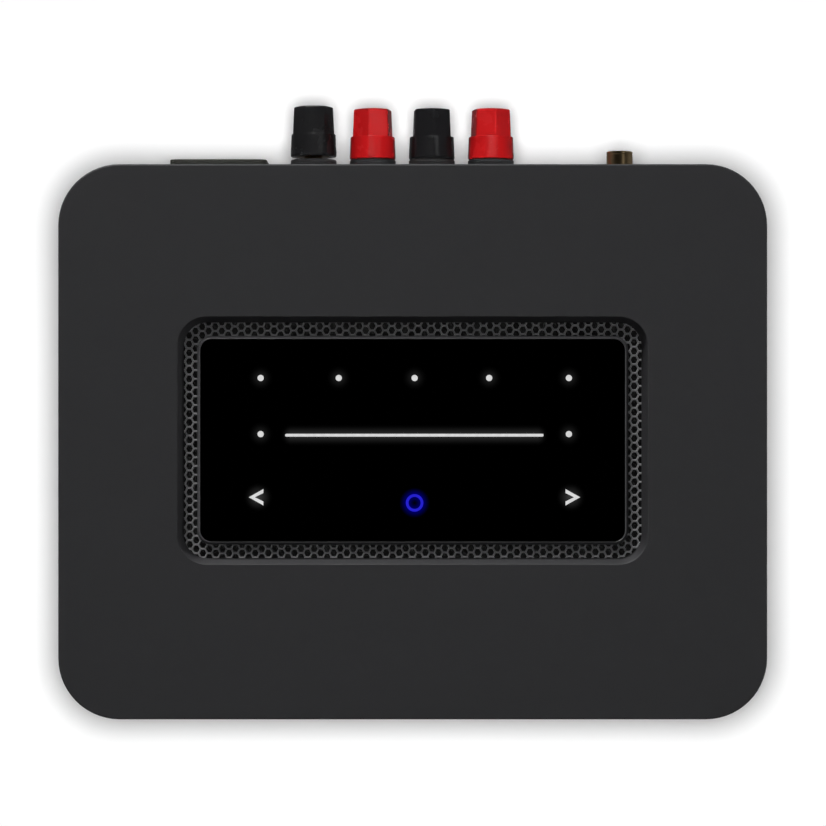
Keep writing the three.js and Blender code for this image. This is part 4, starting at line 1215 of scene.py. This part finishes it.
def network_jack(steel, gold, glow):
    """A shielded jack with a latch notch, eight contact wires and two small lights."""
    node = "ethernet_jack"
    box = Box(node)
    x = box.centre.x
    low, high = box.low.z + NETWORK["sill"], box.low.z + NETWORK["lintel"]
    deep, outside = PANEL_FACE - NETWORK["depth"], PANEL_FACE + 1
    jack = solid("network_jack", bar(box.low, box.high, edge=0.35))
    cut(jack, upright_bar(x, NETWORK["width"], deep, outside, low, high))
    cut(jack, upright_bar(x, NETWORK["notch"], deep, outside, high - 1, high + NETWORK["notch_rise"]))
    deliver(jack, "case", "tinned_steel", steel, node)
    wires, wire_end = [], PANEL_FACE - NETWORK_WIRE["set_back"]
    for index in range(NETWORK_WIRE["count"]):
        place = x + (index - (NETWORK_WIRE["count"] - 1) / 2) * NETWORK_WIRE["pitch"]
        wires.append(upright_bar(place, NETWORK_WIRE["width"], deep + 1, wire_end, low + 0.05, low + 0.55))
    deliver(solid("network_contacts", *wires), "case", "gold_plate", gold)
    lights = []
    for side in (-1, 1):
        place = x + side * NETWORK_LIGHT["offset"]
        face = (PANEL_FACE - 0.3, PANEL_FACE - 0.1)
        lights.append(upright_bar(place, NETWORK_LIGHT["width"], *face, high + 0.5, high + 2.1))
    deliver(solid("network_lights", *lights), "case", "light_guide", glow)


TONGUE = {"side": 1.3, "rear": 0.6, "front": 1.5}
STRIP = {"share": 0.3, "inset": 0.5, "proud": 0.06, "sunk": 0.1}


def flat_socket(node, chamfer, tongue_height, contact_count, steel, black, gold):
    """A thin steel sleeve with a tongue that carries flat contacts."""
    box = Box(node)
    origin = Vector((box.centre.x, box.high.y, box.low.z))
    depth, half, height, wall = box.size.y, box.size.x / 2, box.size.z, 0.45
    outer = sleeve_outline(half, height, chamfer, 0)
    hollow = sleeve_outline(half, height, chamfer, wall)
    profile = [(outer, -depth), (outer, 0), (hollow, 0), (hollow, 0.5 - depth)]
    rings = [placed(points, level, origin, "Y") for points, level in profile]
    deliver(solid(node + "_sleeve", capped(rings)), "case", "tinned_steel", steel, node)
    middle = height / 2
    side, rear = half - TONGUE["side"], TONGUE["rear"] - depth
    low = origin + Vector((-side, rear, middle - tongue_height / 2))
    high = origin + Vector((side, -TONGUE["front"], middle + tongue_height / 2))
    deliver(solid(node + "_tongue", bar(low, high, 0.15)), "case", "socket_plastic", black)
    strips = []
    pitch = (high.x - low.x) / contact_count
    ends = (low.y + STRIP["inset"], high.y - STRIP["inset"], low.z - STRIP["proud"], low.z + STRIP["sunk"])
    for index in range(contact_count):
        x = low.x + (index + 0.5) * pitch
        strips.append(upright_bar(x, 2 * STRIP["share"] * pitch, *ends, edge=0.02))
    deliver(solid(node + "_contacts", *strips), "case", "gold_plate", gold)


def sleeve_outline(half, height, chamfer, inset):
    """A sleeve's section, with both lower corners cut off where it has a chamfer."""
    side, low, high = half - inset, inset, height - inset
    cut_off = max(chamfer - inset * 0.4, 0.15)
    return [
        (-side + cut_off, low), (side - cut_off, low), (side, low + cut_off), (side, high - 0.15),
        (side - 0.15, high), (-side + 0.15, high), (-side, high - 0.15), (-side, low + cut_off),
    ]


# ---------------------------------------------------------------- assembly

GOLD = plated("gold_plate", "bea67e", 0.34, streak=(1, 0.2, 1))
STEEL = plated("tinned_steel", "b9babd", 0.3, streak=(1, 0.1, 1))
SOCKET_BLACK = moulded("socket_plastic", "151516", 0.35)

top_shell(moulded("shell_plastic", "101011", 0.6, blend=0.015, Specular_IOR_Level=0.1))
ir_lens(Finish("ir_lens", "14060a", 0.08, Coat_Weight=0.5))
base_plate(moulded("base_steel", "19191a", 0.5, grain=0.8, depth=0.01))
PANEL_PLASTIC = {"grain": 0.4, "depth": 0.008, "blend": 0.02, "Specular_IOR_Level": 0.25}
rear_panel(moulded("panel_plastic", "111112", 0.6, **PANEL_PLASTIC))
panel_print(printed_ink())

SCREW = plated("screw_steel", "2c2c2e", 0.35)
FOOT_RUBBER = rubber()
for corner in CORNERS:
    foot(corner, FOOT_RUBBER)
    base_screw(corner, SCREW)
for side in ("left", "right"):
    panel_screw(side, SCREW)

vent_grille(moulded("grille_metal", "404041", 0.4, grain=0.3, depth=0.003))
# A black sheet under the mesh stands in for the shade inside the case.
painted_shade_sheet(painted_shade_sheet_finish())
touch_bezel(moulded("bezel_plastic", "202021", 0.4, grain=0.25, depth=0.002, Specular_IOR_Level=0.2))
touch_glass(black_glass())
lit_marks(glowing("lit_marks", "d8d8d8", 1.0))
lit_ring(glowing("lit_ring", "2622cf", 1.0))

KNOB_BLACK = moulded("knob_black", "0e0e0f", 0.25, grain=0.6, depth=0.003, Specular_IOR_Level=0.2)
KNOB_RED = moulded("knob_red", "800b0d", 0.25, grain=0.6, depth=0.003, Specular_IOR_Level=0.14)
COLLAR = moulded("collar_plastic", "262627", 0.5)
for post in POSTS:
    stem(post, GOLD)
    collar(post, COLLAR)
    washer(post, GOLD)
    is_positive = "positive" in post
    knob(post, KNOB_RED if is_positive else KNOB_BLACK, "knob_red" if is_positive else "knob_black")

mains_inlet(moulded("inlet_plastic", "2b2b28", 0.5, Specular_IOR_Level=0.2), STEEL)
phono_socket(GOLD, SOCKET_BLACK)
for jack in MINI_JACKS:
    mini_jack(jack, SOCKET_BLACK, GOLD)
network_jack(STEEL, GOLD, glowing("network_light", "7fbf5a", 0.25))
flat_socket("usb_socket", 0.15, 1.8, 4, STEEL, SOCKET_BLACK, GOLD)
flat_socket("hdmi_socket", 1.6, 1.2, 10, STEEL, SOCKET_BLACK, GOLD)


def repaint(finish, *nodes):
    """Gives CAD nodes that keep their own shape a better material."""
    for node in nodes:
        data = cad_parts[node]
        for material_slot in data.material_slots:
            material_slot.material = finish.material


BOARDS = ("touch_board", "main_board", "io_board", "power_board", "amplifier_board", "terminal_board")
UPRIGHT_BOARDS = ("io_board", "terminal_board")
SLAB = 1.65


def package_level(board):
    """The height above which a board's surface belongs to the packages that it carries."""
    box = Box(board)
    if board in UPRIGHT_BOARDS:
        return box.high.z + 1
    return min(box.high.z, box.low.z + SLAB)


for board in BOARDS:
    repaint(circuit_board(board + "_mask", package_level(board)), board)
repaint(moulded("antenna_laminate", "1c2b1f", 0.4), "antenna_left", "antenna_right")
repaint(moulded("light_guide", "d8dadc", 0.45), "light_guide")
repaint(striped_film(), "touch_ribbon_cable")
repaint(plated("module_can", "b4b6b8", 0.3), "wireless_module")
repaint(plated("heatsink_aluminium", "8f9194", 0.4, streak=(1, 0.05, 1)), "heatsink")
CORE_HALF_WIDTH = 12.01
transformer_box = Box("transformer")
repaint(laminated_core((transformer_box.centre.x, CORE_HALF_WIDTH)), "transformer")
for side in ("left", "right"):
    repaint(capacitor_sleeve(Box("bulk_capacitor_" + side).high.z), "bulk_capacitor_" + side)
repaint(wound_copper(Box("filter_choke").centre), "filter_choke")


FLOOR_RADIUS = 4000
FLOOR_LOW = -8
FLOOR_BORE = 1.0
SWEEP_GLOW = (0.3, 1.4)


def make_floor():
    """A pale sweep under the object that glows more the farther it lies from the middle: painted light that
    brightens the far floor and lights the object from below.
    """
    finish = Finish("floor", "fdfdfd", 0.8, Specular_IOR_Level=0.2)
    finish.mottle("fdfdfd", blotch=60, amount=0.005)
    finish.uneven_gloss(0.7, blotch=30)
    distance = finish.node("VectorMath", {0: finish.where}, output="Value", operation="LENGTH")
    # Painted light: the floor emits, from nothing at 0.3 m to 0.85 at 1.4 m from the middle.
    finish.set("Emission Color", linear("f8f8f8"))
    finish.set("Emission Strength", finish.spread(distance, 0, 0.85, *SWEEP_GLOW))
    profile = [(FLOOR_BORE, FLOOR_LOW), (FLOOR_RADIUS, FLOOR_LOW), (FLOOR_RADIUS, 0), (FLOOR_BORE, 0)]
    rings = circles(profile, Vector((0, 0, 0)), "Z")
    floor = solid("floor", capped(rings))
    floor.data.transform(Matrix.Scale(MM, 4))
    floor.data.materials.append(finish.material)
    floor.visible_glossy = False


def aim(lamp, pieces):
    """Keeps a lamp off everything but some pieces, as flags do in a studio."""
    lit = bpy.data.collections.new("lit_by_" + lamp.name)
    for piece in pieces:
        lit.objects.link(piece)
    lamp.light_linking.receiver_collection = lit


def rearmost(piece):
    """How far to the rear a piece reaches, in metres."""
    return max((piece.matrix_world @ Vector(corner)).y for corner in piece.bound_box)


def light_object():
    """Gives each lamp its own pieces: those behind the case's rear edge get no light from the sides."""
    pieces = [piece for piece in bpy.context.scene.objects if piece.type == "MESH"]
    rear_edge = Box("top_shell").high.y * MM
    panel_frame = [piece for piece in pieces if piece.name in ("bezel_frame", "hexagon_mesh")]
    behind = [piece for piece in pieces if rearmost(piece) > rear_edge]
    for lamp in (REAR, FRONT):
        aim(lamp, pieces)
    aim(RIM, panel_frame)
    aim(GLINT, behind)
    aim(KICK, [piece for piece in behind if piece.name.startswith("knob_")])
    aim(KEY, [piece for piece in pieces if piece not in behind])
    aim(RIGHT, [piece for piece in pieces if piece not in behind + panel_frame])


light_object()
make_floor()
